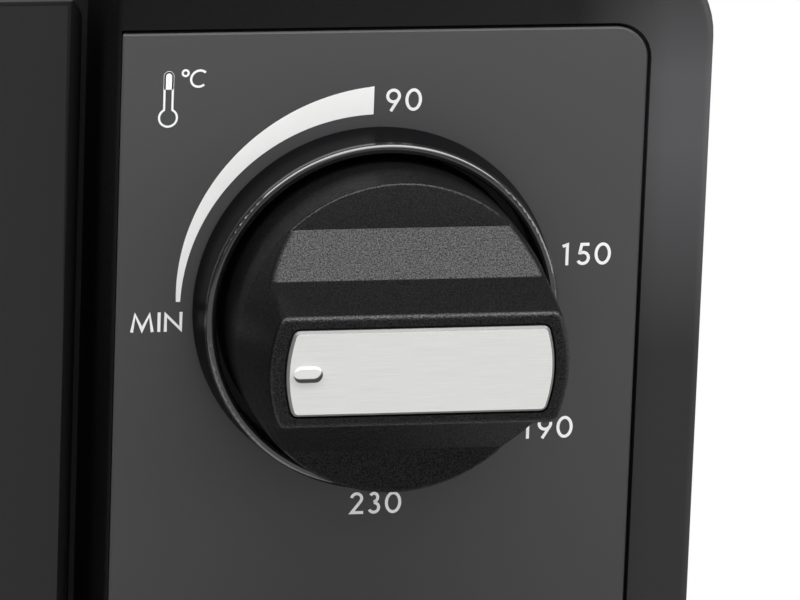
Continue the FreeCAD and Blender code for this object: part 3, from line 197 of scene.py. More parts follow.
def noise(tree, size, detail=2.0, stretch=(1.0, 1.0, 1.0), roughness=0.5):
    """Noise on the object's own coordinates, with features of about the given size."""
    coordinates = tree.nodes.new("ShaderNodeTexCoord")
    mapping = tree.nodes.new("ShaderNodeMapping")
    texture = tree.nodes.new("ShaderNodeTexNoise")
    mapping.inputs["Scale"].default_value = [1.0 / (size * way) for way in stretch]
    texture.inputs["Scale"].default_value = 1.0
    texture.inputs["Detail"].default_value = detail
    texture.inputs["Roughness"].default_value = roughness
    tree.links.new(coordinates.outputs["Object"], mapping.inputs["Vector"])
    tree.links.new(mapping.outputs["Vector"], texture.inputs["Vector"])
    return texture.outputs["Fac"]


def cells(tree, size, feature="F1", smoothness=0.0):
    """Cell distances on the object's own coordinates."""
    coordinates = tree.nodes.new("ShaderNodeTexCoord")
    texture = tree.nodes.new("ShaderNodeTexVoronoi")
    texture.feature = feature
    texture.inputs["Scale"].default_value = 1.0 / size
    if feature == "SMOOTH_F1":
        texture.inputs["Smoothness"].default_value = smoothness
    tree.links.new(coordinates.outputs["Object"], texture.inputs["Vector"])
    return texture.outputs["Distance"]


def spread(tree, source, low, high, start=0.35, end=0.65):
    """Maps a texture onto a range of values."""
    mapped = tree.nodes.new("ShaderNodeMapRange")
    mapped.inputs["From Min"].default_value = start
    mapped.inputs["From Max"].default_value = end
    mapped.inputs["To Min"].default_value = low
    mapped.inputs["To Max"].default_value = high
    tree.links.new(source, mapped.inputs["Value"])
    return mapped.outputs["Result"]


def tint(tree, shader, source, dark, light, start=0.35, end=0.65):
    """Colours the surface between two tones."""
    ramp = tree.nodes.new("ShaderNodeValToRGB")
    ramp.color_ramp.elements[0].position = start
    ramp.color_ramp.elements[1].position = end
    ramp.color_ramp.elements[0].color = (*dark[:3], 1.0)
    ramp.color_ramp.elements[1].color = (*light[:3], 1.0)
    tree.links.new(source, ramp.inputs["Fac"])
    tree.links.new(ramp.outputs["Color"], shader.inputs["Base Color"])


def emboss(tree, shader, source, depth, strength=1.0, below=None):
    """Bumps the surface, on top of an earlier bump where one is given."""
    bump = tree.nodes.new("ShaderNodeBump")
    bump.inputs["Strength"].default_value = strength
    bump.inputs["Distance"].default_value = depth
    tree.links.new(source, bump.inputs["Height"])
    if below is not None:
        tree.links.new(below, bump.inputs["Normal"])
    tree.links.new(bump.outputs["Normal"], shader.inputs["Normal"])
    return bump.outputs["Normal"]


def scaled(colour, factor):
    """A colour made darker or lighter."""
    return tuple(min(1.0, part * factor) for part in colour[:3])


# The finishes


def panel_coating(colour):
    """Smooth satin coating, with painted light: lighter towards its top and darker towards its lower end."""
    material, tree, shader = new_finish("panel_coating", colour, 0.42)
    shader.inputs["Specular IOR Level"].default_value = 0.35
    place = tree.nodes.new("ShaderNodeTexCoord")
    split = tree.nodes.new("ShaderNodeSeparateXYZ")
    tree.links.new(place.outputs["Object"], split.inputs["Vector"])
    # Painted light: the base colour runs from 0.84 of the colour at the bottom to 1.12 at the top, standing in for
    # how the lamps fall on the panel.
    top = TEMPERATURE_AXIS.z
    height = spread(tree, split.outputs["Z"], 0.0, 1.0, top - 45 * MM, top + 40 * MM)
    tint(tree, shader, height, scaled(colour, 0.84), scaled(colour, 1.12), 0.0, 1.0)
    tree.links.new(spread(tree, noise(tree, 0.6 * MM), 0.38, 0.46), shader.inputs["Roughness"])
    emboss(tree, shader, noise(tree, 0.12 * MM, 1.0), 0.0015 * MM, 0.5)
    return material


def grained_moulding(name, colour, grain=0.13, depth=0.008, rough=(0.38, 0.50), shine=(0.2, 0.5)):
    """Black plastic with a fine eroded grain."""
    material, tree, shader = new_finish(name, colour, rough[0])
    fine = noise(tree, grain * MM, 2.0, roughness=0.6)
    shader.inputs["Specular IOR Level"].default_value = sum(shine) / 2
    tree.links.new(spread(tree, fine, *shine), shader.inputs["Specular IOR Level"])
    tint(tree, shader, fine, scaled(colour, 0.45), scaled(colour, 1.7))
    tree.links.new(spread(tree, noise(tree, 0.5 * MM), rough[0], rough[1]), shader.inputs["Roughness"])
    pits = cells(tree, grain * 1.6 * MM)
    emboss(tree, shader, fine, depth * MM, 1.0, emboss(tree, shader, pits, depth * MM, 0.7))
    return material


def surface(tree, output):
    """The parts of a texture coordinate of the object."""
    place = tree.nodes.new("ShaderNodeTexCoord")
    split = tree.nodes.new("ShaderNodeSeparateXYZ")
    tree.links.new(place.outputs[output], split.inputs["Vector"])
    return split.outputs


def worked(tree, operation, first, second):
    """One step of arithmetic between two values of the surface."""
    step = tree.nodes.new("ShaderNodeMath")
    step.operation = operation
    tree.links.new(first, step.inputs[0])
    tree.links.new(second, step.inputs[1])
    return step.outputs["Value"]


def knob_finish(name, colour):
    """A knob's eroded grain, which shines more on the ramps, the rubbed front and the upper floor."""
    material = grained_moulding(name, colour, 0.20, 0.044, (0.32, 0.42), (0.10, 0.46))
    tree = material.node_tree
    shader = tree.nodes["Principled BSDF"]
    facing = surface(tree, "Normal")["Y"]
    ramp = worked(
        tree, "MULTIPLY", spread(tree, facing, 0.0, 0.6, -0.90, -0.80), spread(tree, facing, 1.0, 0.0, -0.60, -0.50))
    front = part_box("temperature_knob")[0].y
    rubbed = spread(tree, surface(tree, "Object")["Y"], 1.5, 1.0, front + 0.3 * MM, front + 0.8 * MM)
    grain_shine = shader.inputs["Specular IOR Level"].links[0].from_socket
    shine = worked(tree, "MULTIPLY", grain_shine, worked(tree, "ADD", ramp, rubbed))
    top = TEMPERATURE_AXIS.z
    upper = spread(tree, surface(tree, "Object")["Z"], 0.0, 0.42, top + 7 * MM, top + 9 * MM)
    floor = worked(tree, "MULTIPLY", upper, spread(tree, facing, 1.0, 0.0, -0.99, -0.95))
    tree.links.new(worked(tree, "ADD", shine, floor), shader.inputs["Specular IOR Level"])
    return material


def block_finish(name, colour):
    """The control block's moulding: fine grain, and a painted sheen that makes its right stile paler."""
    material = grained_moulding(name, colour)
    tree = material.node_tree
    shader = tree.nodes["Principled BSDF"]
    place = tree.nodes.new("ShaderNodeTexCoord")
    split = tree.nodes.new("ShaderNodeSeparateXYZ")
    tree.links.new(place.outputs["Object"], split.inputs["Vector"])
    panel_low, panel_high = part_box("control_panel")
    shine = spread(tree, split.outputs["X"], 0.15, 0.40, panel_low.x, panel_high.x)
    tree.links.new(shine, shader.inputs["Specular IOR Level"])
    top = TEMPERATURE_AXIS.z
    # Painted sheen: the right stile's colour is lightened, most in its upper part and less towards its bottom and the
    # top rail, standing in for the light it catches.
    painted_sheen = spread(tree, split.outputs["X"], 0.05, 1.0, panel_high.x - 10 * MM, panel_high.x + 3 * MM)
    for low, high, start, end in ((0.25, 1.0, -8, 22), (1.0, 0.45, 32, 45)):
        share = spread(tree, split.outputs["Z"], low, high, top + start * MM, top + end * MM)
        product = tree.nodes.new("ShaderNodeMath")
        product.operation = "MULTIPLY"
        tree.links.new(painted_sheen, product.inputs[0])
        tree.links.new(share, product.inputs[1])
        painted_sheen = product.outputs["Value"]
    paler = tree.nodes.new("ShaderNodeMix")
    paler.data_type = "RGBA"
    grain_colour = shader.inputs["Base Color"].links[0].from_socket
    tree.links.new(painted_sheen, paler.inputs["Factor"])
    tree.links.new(grain_colour, paler.inputs[6])
    paler.inputs[7].default_value = (*scaled(colour, 20.0), 1.0)
    tree.links.new(paler.outputs[2], shader.inputs["Base Color"])
    return material


def gloss_moulding(name, colour):
    """Polished black plastic with a trace of orange peel."""
    material, tree, shader = new_finish(name, colour, 0.07)
    shader.inputs["Coat Weight"].default_value = 0.25
    shader.inputs["Coat Roughness"].default_value = 0.04
    tree.links.new(spread(tree, noise(tree, 2.4 * MM, 3.0), 0.05, 0.11), shader.inputs["Roughness"])
    emboss(tree, shader, noise(tree, 1.6 * MM, 2.0), 0.0012 * MM, 0.6)
    return material


def ring_finish(name, colour):
    """A bezel's black plastic: a polished crest on a satin wall."""
    material, tree, shader = new_finish(name, colour, 0.14)
    place = tree.nodes.new("ShaderNodeTexCoord")
    split = tree.nodes.new("ShaderNodeSeparateXYZ")
    tree.links.new(place.outputs["Object"], split.inputs["Vector"])
    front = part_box("temperature_bezel")[0].y
    crest = spread(tree, split.outputs["Y"], 0.0, 1.0, front + 1.15 * MM, front + 0.65 * MM)
    tint(tree, shader, crest, scaled(colour, 1.2), colour, 0.0, 1.0)
    tree.links.new(spread(tree, crest, 0.02, 1.0, 0.0, 1.0), shader.inputs["Specular IOR Level"])
    shader.inputs["IOR"].default_value = 1.8
    tree.links.new(spread(tree, crest, 0.34, 0.17, 0.0, 1.0), shader.inputs["Roughness"])
    emboss(tree, shader, noise(tree, 0.3 * MM, 1.0), 0.0004 * MM, 0.3)
    return material


def brushed_metal(name, colour, along, rough=(0.34, 0.44), line=0.05, depth=0.003, metallic=1.0):
    """Metal brushed along one axis of its object: long fine lines in tone, gloss and height."""
    material, tree, shader = new_finish(name, colour, rough[0], metallic)
    stretch = tuple(160.0 if axis == along else 1.0 for axis in "xyz")
    lines = noise(tree, line * MM, 3.0, stretch, 0.7)
    tint(tree, shader, lines, scaled(colour, 0.90), scaled(colour, 1.08), 0.3, 0.7)
    tree.links.new(spread(tree, lines, rough[0], rough[1]), shader.inputs["Roughness"])
    shader.inputs["Anisotropic"].default_value = 0.35
    emboss(tree, shader, lines, depth * MM)
    return material


def off_capsule(tree, centre, along, half, shift=(0.0, 0.0)):
    """How far the surface lies, seen from the front, from a short line along one axis."""
    place = tree.nodes.new("ShaderNodeTexCoord")
    middle_line = (centre.x + shift[0], 0.0, centre.z + shift[1])
    reach = (half, 0.0, 0.0) if along == "x" else (0.0, 0.0, half)
    point = place.outputs["Object"]
    for operation, value in (
        ("MULTIPLY", (1.0, 0.0, 1.0)), ("SUBTRACT", middle_line), ("MINIMUM", reach), ("MAXIMUM", [-v for v in reach])
    ):
        step = tree.nodes.new("ShaderNodeVectorMath")
        step.operation = operation
        tree.links.new(point, step.inputs[0])
        step.inputs[1].default_value = value
        if operation == "SUBTRACT":
            flat = step.outputs["Vector"]
        point = step.outputs["Vector"]
    gap = tree.nodes.new("ShaderNodeVectorMath")
    gap.operation = "DISTANCE"
    tree.links.new(flat, gap.inputs[0])
    tree.links.new(point, gap.inputs[1])
    return gap.outputs["Value"]


def mixed(tree, shader, factor, colour):
    """Lays a second colour over the base colour where the factor says so."""
    mix = tree.nodes.new("ShaderNodeMix")
    mix.data_type = "RGBA"
    tree.links.new(factor, mix.inputs["Factor"])
    tree.links.new(shader.inputs["Base Color"].links[0].from_socket, mix.inputs[6])
    mix.inputs[7].default_value = (*colour, 1.0)
    tree.links.new(mix.outputs[2], shader.inputs["Base Color"])


PIP_HALF = 0.9 * MM
PIP_RADIUS = 1.1 * MM
PIP_FROM_AXIS = 15.6 * MM


def plate_finish(name, colour, along, axis):
    """A knob's brushed plate, with its bevels darkened as painted shade, a pip lightened as a painted highlight and a
    painted shadow under the pip's lower side.
    """
    material = brushed_metal(name, colour, along, (0.36, 0.44), metallic=0.38)
    tree = material.node_tree
    shader = tree.nodes["Principled BSDF"]
    way = Vector((-1, 0, 0)) if along == "x" else Vector((0, 0, 1))
    pip = axis + way * PIP_FROM_AXIS
    off_pip = off_capsule(tree, pip, along, PIP_HALF)
    beyond = spread(tree, off_pip, 0.0, 1.0, PIP_RADIUS + 0.02 * MM, PIP_RADIUS + 0.10 * MM)
    inside = spread(tree, off_pip, 1.0, 0.0, PIP_RADIUS - 0.05 * MM, PIP_RADIUS + 0.02 * MM)
    # Painted shade: the plate's bevels and sides, away from the pip, are darkened to 0.26 of the colour.
    bevel_shade = worked(tree, "MULTIPLY", spread(tree, surface(tree, "Normal")["Y"], 0.0, 1.0, -0.97, -0.80), beyond)
    mixed(tree, shader, bevel_shade, scaled(colour, 0.26))
    # Painted highlight: the pip is lightened a little.
    mixed(tree, shader, inside, scaled(colour, 1.04))
    # Painted shadow: a dark crescent along the pip's lower and right edges, where the pip's outline is shifted up and
    # to the left.
    off_light = off_capsule(tree, pip, along, PIP_HALF, (-0.27 * MM, 0.68 * MM))
    painted_pip_shadow = spread(tree, off_light, 0.0, 1.0, PIP_RADIUS - 0.06 * MM, PIP_RADIUS + 0.10 * MM)
    mixed(tree, shader, worked(tree, "MULTIPLY", painted_pip_shadow, inside), scaled(colour, 0.07))
    return material


def sheet_steel(name, colour, rough=(0.30, 0.44), spangle=7.0):
    """Coated sheet steel with a soft crystalline spangle."""
    material, tree, shader = new_finish(name, colour, rough[0], 0.6)
    flowers = cells(tree, spangle * MM)
    tint(tree, shader, flowers, scaled(colour, 0.86), scaled(colour, 1.06), 0.1, 0.8)
    tree.links.new(spread(tree, noise(tree, 3 * MM, 3.0), rough[0], rough[1]), shader.inputs["Roughness"])
    emboss(tree, shader, noise(tree, 0.4 * MM, 2.0, (1.0, 6.0, 1.0)), 0.003 * MM, 0.6)
    return material


def baked_paint(name, colour, rough=(0.34, 0.42)):
    """Satin powder paint with orange peel."""
    material, tree, shader = new_finish(name, colour, rough[0])
    peel = noise(tree, 0.9 * MM, 2.0)
    tint(tree, shader, noise(tree, 14 * MM, 2.0), scaled(colour, 0.9), scaled(colour, 1.1))
    tree.links.new(spread(tree, peel, rough[0], rough[1]), shader.inputs["Roughness"])
    emboss(tree, shader, peel, 0.010 * MM, 0.7)
    return material


def white_ink(colour):
    """Screen-printed white ink, with a slightly uneven edge of gloss."""
    material, tree, shader = new_finish("white_ink", colour, 0.55)
    tint(tree, shader, noise(tree, 2.0 * MM, 2.0), scaled(colour, 0.99), colour)
    tree.links.new(spread(tree, noise(tree, 0.3 * MM), 0.50, 0.60), shader.inputs["Roughness"])
    return material


def smoked_pane(colour):
    """Tempered glass with a slight smoke tint."""
    material, tree, shader = new_finish("smoked_pane", colour, 0.02)
    shader.inputs["Transmission Weight"].default_value = 1.0
    shader.inputs["IOR"].default_value = 1.50
    tree.links.new(spread(tree, noise(tree, 30 * MM, 2.0), 0.0, 0.035), shader.inputs["Roughness"])
    emboss(tree, shader, noise(tree, 40 * MM, 1.0), 0.004 * MM, 0.4)
    return material


def plain_grain(name, colour, roughness, metallic=0.0, grain=0.5, depth=0.01):
    """A plain finish with a little unevenness in tone and height."""
    material, tree, shader = new_finish(name, colour, roughness, metallic)
    source = noise(tree, grain * MM, 3.0)
    tint(tree, shader, source, scaled(colour, 0.82), scaled(colour, 1.12))
    tree.links.new(
        spread(tree, source, roughness * 0.85, min(1.0, roughness * 1.15)), shader.inputs["Roughness"],
    )
    emboss(tree, shader, source, depth * MM, 0.6)
    return material


def dress(node, material):
    """Gives a frame node its finish, with smooth shading inside its sharp edges."""
    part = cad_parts[node]
    part.data.materials.clear()
    part.data.materials.append(material)
    part.data.polygons.foreach_set("use_smooth", [True] * len(part.data.polygons))
    weld = part.modifiers.new("weld", "WELD")
    weld.merge_threshold = 0.002 * MM
    split = part.modifiers.new("sharp_edges", "EDGE_SPLIT")
    split.split_angle = math.radians(24.0)
    weighted = part.modifiers.new("weighted_normals", "WEIGHTED_NORMAL")
    weighted.keep_sharp = True


def new_piece(name, bm, material, body):
    """Makes a mesh piece that rides on a body."""
    mesh = bpy.data.meshes.new(name)
    bmesh.ops.recalc_face_normals(bm, faces=bm.faces)
    bm.to_mesh(mesh)
    bm.free()
    mesh.materials.append(material)
    piece = bpy.data.objects.new(name, mesh)
    bpy.context.scene.collection.objects.link(piece)
    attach(piece, body)
    return piece


def material_named(name, maker, *values):
    """The material of that name, made the first time it is asked for."""
    found = bpy.data.materials.get(name)
    return found if found is not None else maker(*values)


# Small fasteners


def add_screw(bm, place, way, radius, height):
    """A pan head with a cross recess, standing on a surface."""
    turn = Vector((0.0, 0.0, 1.0)).rotation_difference(Vector(way)).to_matrix().to_4x4()
    frame_of = Matrix.Translation(place) @ turn
    arm, half = radius * 0.52, radius * 0.13
    cross = [(arm, -half), (arm, half), (half, half), (half, arm), (-half, arm), (-half, half), (-arm, half),
             (-arm, -half), (-half, -half), (-half, -arm), (half, -arm), (half, -half)]
    count = 36
    rings = []
    for share, level in ((0.66, 1.0), (0.84, 0.86), (0.96, 0.55), (1.0, 0.25), (1.0, 0.0)):
        turns = [2 * math.pi * i / count for i in range(count)]
        rings.append([
            bm.verts.new(frame_of @ Vector((radius * share * math.cos(t), radius * share * math.sin(t),
                                            height * level))) for t in turns
        ])
    for outer, inner in zip(rings[1:], rings):
        for i in range(count):
            k = (i + 1) % count
            bm.faces.new((outer[i], outer[k], inner[k], inner[i]))
    bm.faces.new(rings[-1][::-1])
    mouth = [bm.verts.new(frame_of @ Vector((x, y, height))) for x, y in cross]
    bottom = [bm.verts.new(frame_of @ Vector((x * 0.8, y * 0.8, height * 0.35))) for x, y in cross]
    for i in range(len(cross)):
        k = (i + 1) % len(cross)
        bm.faces.new((mouth[i], bottom[i], bottom[k], mouth[k]))
    bm.faces.new(bottom)
    border = []
    for loop in (rings[0], mouth):
        for i in range(len(loop)):
            border.append(bm.edges.get((loop[i], loop[(i + 1) % len(loop)])))
    bmesh.ops.triangle_fill(bm, use_beauty=True, use_dissolve=False, edges=border)


class OVEN_OT_screws(bpy.types.Operator):
    """Adds the screws of the rear panel, the wall bumpers and the pane's retainer"""

    bl_idname = "oven.screws"
    bl_label = "Screws"

    def execute(self, context):
        steel = plain_grain("screw_zinc", (0.50, 0.50, 0.51), 0.28, 1.0, 0.8, 0.004)
        low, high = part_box("rear_panel")
        bm = bmesh.new()
        for x, z in ((9, 12), (9, 130), (75, 253), (186, 253), (156, 6)):
            for side in (1, -1):
                place = (side * (high.x - x * MM), high.y, low.z + z * MM)
                add_screw(bm, place, (0, 1, 0), 3.0 * MM, 1.4 * MM)
        new_piece("rear_screws", bm, steel, "case")

        low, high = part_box("door_glass_retainer")
        bm = bmesh.new()
        inset = 2.0 * MM
        for i in range(4):
            x = low.x + inset + (high.x - low.x - 2 * inset) * (0.08 + 0.28 * i)
            for z in (low.z + inset, high.z - inset):
                add_screw(bm, (x, high.y, z), (0, 1, 0), 1.7 * MM, 0.8 * MM)
        new_piece("retainer_screws", bm, steel, "door")
        return {"FINISHED"}


# Printed strokes and signs

INK_LIFT = 0.004 * MM
INK_THICKNESS = 0.03 * MM
INK_STEP = 0.0015 * MM
ARC_STEP = math.radians(6.0)


def arc(cx, cz, rx, rz, start, end):
    """Points along an ellipse from one angle to another, in degrees."""
    first, last = math.radians(start), math.radians(end)
    count = max(3, int(abs(last - first) / ARC_STEP) + 1)
    turns = [first + (last - first) * i / (count - 1) for i in range(count)]
    return [(cx + rx * math.cos(turn), cz + rz * math.sin(turn)) for turn in turns]


def plate_of(bm, outline, origin):
    """A thin closed plate of ink with the given outline, standing on the panel's face."""
    back = PANEL_FACE - INK_LIFT
    rows = []
    for y in (back, back - INK_THICKNESS):
        rows.append([bm.verts.new((origin[0] + x, y, origin[1] + z)) for x, z in outline])
    count = len(outline)
    bm.faces.new(rows[0])
    bm.faces.new(rows[1][::-1])
    for i in range(count):
        following = (i + 1) % count
        bm.faces.new((rows[0][i], rows[1][i], rows[1][following], rows[0][following]))


def band(bm, path, width, origin, closed=False):
    """A stroke of even width along a path, with mitred corners."""
    count = len(path)
    left = []
    right = []
    for i in range(count):
        here = Vector(path[i])
        before = Vector(path[i - 1]) if closed or i > 0 else None
        after = Vector(path[(i + 1) % count]) if closed or i < count - 1 else None
        way_in = (here - before).normalized() if before is not None else (after - here).normalized()
        way_out = (after - here).normalized() if after is not None else way_in
        normal = Vector((-way_in.y - way_out.y, way_in.x + way_out.x))
        reach = width / max(0.35, 1.0 + way_in.dot(way_out))
        offset = normal * (reach / 2)
        left.append(tuple(here + offset))
        right.append(tuple(here - offset))
    last = count if closed else count - 1
    back = PANEL_FACE - INK_LIFT
    front = back - INK_THICKNESS - INK_STEP * (len(bm.verts) % 7)
    rows = []
    for side in (left, right):
        for y in (back, front):
            rows.append([bm.verts.new((origin[0] + x, y, origin[1] + z)) for x, z in side])
    left_back, left_front, right_back, right_front = rows
    for i in range(last):
        k = (i + 1) % count
        bm.faces.new((left_front[i], left_front[k], right_front[k], right_front[i]))
        bm.faces.new((left_back[i], right_back[i], right_back[k], left_back[k]))
        bm.faces.new((left_back[i], left_back[k], left_front[k], left_front[i]))
        bm.faces.new((right_back[i], right_front[i], right_front[k], right_back[k]))
    if not closed:
        bm.faces.new((left_back[0], left_front[0], right_front[0], right_back[0]))
        bm.faces.new((left_back[-1], right_back[-1], right_front[-1], left_front[-1]))


def glyph(character, stroke):
    """Width and strokes of a character one unit high, for a stroke of the given share of the height."""
    half = stroke / 2
    low, top = half, 1.0 - half
    if character == "0":
        rx = 0.365 - half
        return 0.73, [arc(0.365, 0.5, rx, 0.5 - half, 0, 354)], (0,)
    if character == "1":
        return 0.52, [[(half, 0.86), (0.28, top), (0.28, 0.0)]], ()
    if character == "2":
        r = 0.29 - half
        head = arc(0.29, 1.0 - 0.29, r, r, 172, -38)
        return 0.60, [head + [(half * 1.2, low), (0.60, low)]], ()
    if character == "3":
        upper = arc(0.26, 0.745, 0.235 - half, 0.255 - half, 150, -72)
        lower = arc(0.27, 0.285, 0.285 - half, 0.285 - half, 75, -155)
        return 0.56, [upper + lower], ()
    if character == "5":
        bowl = arc(0.27, 0.32, 0.315 - half, 0.32 - half, 118, -150)
        return 0.59, [[(0.54, top), (0.20, top), (0.125, 0.55)] + bowl], ()
    if character == "9":
        r = 0.325 - half
        return 0.65, [arc(0.325, 0.675, r, r, 0, 354), arc(0.325, 0.675, r, r, 0, -28) + [(0.22, 0.0)]], (0,)
    if character == "4":
        return 0.64, [[(0.64, 0.26), (half * 1.4, 0.26), (0.47, top), (0.47, 0.0)]], ()
    if character == "6":
        r = 0.315 - half
        return 0.63, [arc(0.315, 0.315, r, r, 0, 354), arc(0.315, 0.315, r, r, 180, 152) + [(0.42, 1.0)]], (0,)
    if character == "M":
        return 1.19, [[(half, 0.0), (0.23, top - 0.02), (0.595, 0.12), (0.96, top - 0.02), (1.19 - half, 0.0)]], ()
    if character == "I":
        return 0.16, [[(0.08, 0.0), (0.08, 1.0)]], ()
    if character == "N":
        return 0.92, [[(half, 0.0), (half, top - 0.04), (0.92 - half, low + 0.04), (0.92 - half, 1.0)]], ()
    if character == "C":
        r = 0.5 - half
        return 0.80, [arc(0.5, 0.5, r, r, 48, 312)], ()
    raise ValueError(f"no strokes for {character}")


def write(bm, text, left, low, height, stroke, gap=0.20, slant=0.0):
    """Writes text with its lower left corner at a place on the panel. Returns its width."""
    share = stroke / height
    along = 0.0
    for character in text:
        width, strokes, closed = glyph(character, share)
        for i, path in enumerate(strokes):
            placed = [((along + x + slant * z) * height, z * height) for x, z in path]
            band(bm, placed, stroke, (left, low), closed=i in closed)
        along += width + gap
    return (along - gap) * height


def text_width(text, height, stroke, gap=0.20):
    """The width that write would give a text."""
    return (sum(glyph(character, stroke / height)[0] + gap for character in text) - gap) * height


def write_about(bm, text, axis, radius, turn, height, stroke):
    """Writes text with its middle at a turn about a knob, in degrees from the right."""
    width = text_width(text, height, stroke)
    angle = math.radians(turn)
    x = axis.x + radius * math.cos(angle) - width / 2
    z = axis.z + radius * math.sin(angle) - height / 2
    write(bm, text, x, z, height, stroke)


def temperature_wedge(bm, axis, sizes):
    """The wedge that grows clockwise from the lowest setting to the top."""
    steps = 60
    inner = []
    outer = []
    cut = -0.9 * MM
    for i in range(steps + 1):
        share = i / steps
        angle = math.radians(178.0 - 87.0 * share)
        width = sizes.wedge_start + (sizes.wedge_end - sizes.wedge_start) * share
        for row, radius in ((inner, sizes.wedge_radius), (outer, sizes.wedge_radius + width)):
            row.append((min(radius * math.cos(angle), cut), radius * math.sin(angle)))
    inner.append((cut, inner[-1][1]))
    outer.append((cut, outer[-1][1]))
    for i in range(len(inner) - 1):
        quad = [inner[i], outer[i], outer[i + 1], inner[i + 1]]
        plate_of(bm, quad, (axis.x, axis.z))


def ring_sign(bm, x, z, radius, stroke):
    """A printed ring."""
    band(bm, arc(x, z, radius - stroke / 2, radius - stroke / 2, 0, 354), stroke, (0.0, 0.0), closed=True)


class OVEN_OT_temperature_print(bpy.types.Operator):
    """Prints the temperature scale: the wedge, four numbers, the word for the lowest setting and a sign"""

    bl_idname = "oven.temperature_print"
    bl_label = "Temperature print"

    def execute(self, context):
        sizes = context.scene.oven_print
        ink = material_named("white_ink", white_ink, context.scene.oven_colours.ink)
        axis = TEMPERATURE_AXIS
        bm = bmesh.new()
        temperature_wedge(bm, axis, sizes)
        new_piece("temperature_wedge", bm, ink, "case")

        bm = bmesh.new()
        for text, x, z in (("90", 0.8, 27.7), ("150", 26.5, 5.0), ("190", 21.9, -20.2), ("230", -2.3, -30.6)):
            write(bm, text, axis.x + x * MM, axis.z + z * MM, sizes.numeral_height, sizes.stroke)
        write(bm, "MIN", axis.x - 34.2 * MM, axis.z - 3.3 * MM, sizes.word_height, sizes.stroke, 0.17)
        new_piece("temperature_numbers", bm, ink, "case")

        bm = bmesh.new()
        self.thermometer(bm, axis.x - 29.7 * MM, axis.z + 27.3 * MM, sizes)
        ring_sign(bm, axis.x - 27.4 * MM, axis.z + 33.6 * MM, 0.56 * MM, sizes.fine_stroke)
        write(bm, "C", axis.x - 26.9 * MM, axis.z + 31.5 * MM, 2.6 * MM, sizes.stroke * 0.72, slant=0.10)
        new_piece("thermometer_sign", bm, ink, "case")
        return {"FINISHED"}

    def thermometer(self, bm, x, z, sizes):
        """A tube with a filled top over a hollow bulb."""
        half = 0.72 * MM
        line = sizes.fine_stroke
        bulb = 1.39 * MM
        top = 6.6 * MM
        fill = 4.0 * MM
        neck = 1.15 * MM
        turn = math.degrees(math.asin((half - line / 2) / (bulb - line / 2)))
        outline = arc(0.0, top - half, half - line / 2, half - line / 2, 0, 180)
        round_bulb = arc(0.0, 0.0, bulb - line / 2, bulb - line / 2, 90 + turn, 450 - turn)
        band(bm, outline + round_bulb, line, (x, z), closed=True)
        cap = arc(0.0, top - half, half - line * 0.2, half - line * 0.2, 0, 180)
        plate_of(bm, cap + [(-half + line * 0.2, fill), (half - line * 0.2, fill)], (x, z))


class OVEN_OT_function_print(bpy.types.Operator):
    """Prints the four settings of the function control as plain heater signs"""

    bl_idname = "oven.function_print"
    bl_label = "Function print"

    def execute(self, context):
        sizes = context.scene.oven_print
        ink = material_named("white_ink", white_ink, context.scene.oven_colours.ink)
        axis = FUNCTION_AXIS
        bm = bmesh.new()
        write_about(bm, "0", axis, 30.0 * MM, 90.0, sizes.numeral_height, sizes.stroke)
        for turn, upper, lower in ((30.0, False, True), (-30.0, True, False), (-90.0, True, True)):
            angle = math.radians(turn)
            radius = 31.0 * MM
            x = axis.x + radius * math.cos(angle)
            z = axis.z + radius * math.sin(angle)
            self.heater_sign(bm, x, z, 2.1 * MM, upper, lower, sizes.fine_stroke)
        new_piece("function_signs", bm, ink, "case")
        return {"FINISHED"}

    def heater_sign(self, bm, x, z, half, upper, lower, line):
        """A square for the cavity, with a bar for each heater that is on."""
        box = [(-half, -half), (half, -half), (half, half), (-half, half)]
        band(bm, box, line, (x, z), closed=True)
        for on, level in ((upper, half * 0.55), (lower, -half * 0.55)):
            if on:
                band(bm, [(-half * 0.6, level), (half * 0.6, level)], line * 1.6, (x, z))


class OVEN_OT_timer_print(bpy.types.Operator):
    """Prints the timer's minutes, its ticks and a clock sign"""

    bl_idname = "oven.timer_print"
    bl_label = "Timer print"

    def execute(self, context):
        sizes = context.scene.oven_print
        ink = material_named("white_ink", white_ink, context.scene.oven_colours.ink)
        axis = TIMER_AXIS
        bm = bmesh.new()
        for i in range(7):
            turn = 90.0 - 50.0 * i
            text = "0" if i == 0 else str(10 * i)
            write_about(bm, text, axis, 31.6 * MM, turn, sizes.numeral_height * 0.82, sizes.stroke * 0.82)
        for i in range(31):
            angle = math.radians(90.0 - 10.0 * i)
            inner, outer = 26.9 * MM, (28.6 if i % 5 == 0 else 27.7) * MM
            path = [(r * math.cos(angle), r * math.sin(angle)) for r in (inner, outer)]
            band(bm, path, sizes.fine_stroke * 0.8, (axis.x, axis.z))
        x, z = axis.x - 30.5 * MM, axis.z + 27.0 * MM
        ring_sign(bm, x, z, 1.9 * MM, sizes.fine_stroke)
        band(bm, [(0.0, 1.1 * MM), (0.0, 0.0), (0.8 * MM, 0.0)], sizes.fine_stroke, (x, z))
        new_piece("timer_minutes", bm, ink, "case")
        return {"FINISHED"}


class OVEN_OT_control_block(bpy.types.Operator):
    """Finishes the control block: grained moulding, satin panel, glossy bezels and pilot light"""

    bl_idname = "oven.control_block"
    bl_label = "Control block"

    def execute(self, context):
        colours = context.scene.oven_colours
        dress("control_panel", material_named("panel_coating", panel_coating, colours.panel))
        dress("control_fascia", material_named("block_moulding", block_finish, "block_moulding",
                                               colours.moulding))
        bezel = ring_finish("bezel_polish", colours.bezel)
        for name in ("temperature", "function", "timer"):
            dress(name + "_bezel", bezel)
        lens, tree, shader = new_finish("pilot_lens", (0.75, 0.20, 0.04), 0.15)
        shader.inputs["Transmission Weight"].default_value = 0.4
        tint(tree, shader, noise(tree, 0.8 * MM), (0.66, 0.15, 0.03), (0.80, 0.24, 0.05))
        dress("indicator_lens", lens)
        return {"FINISHED"}


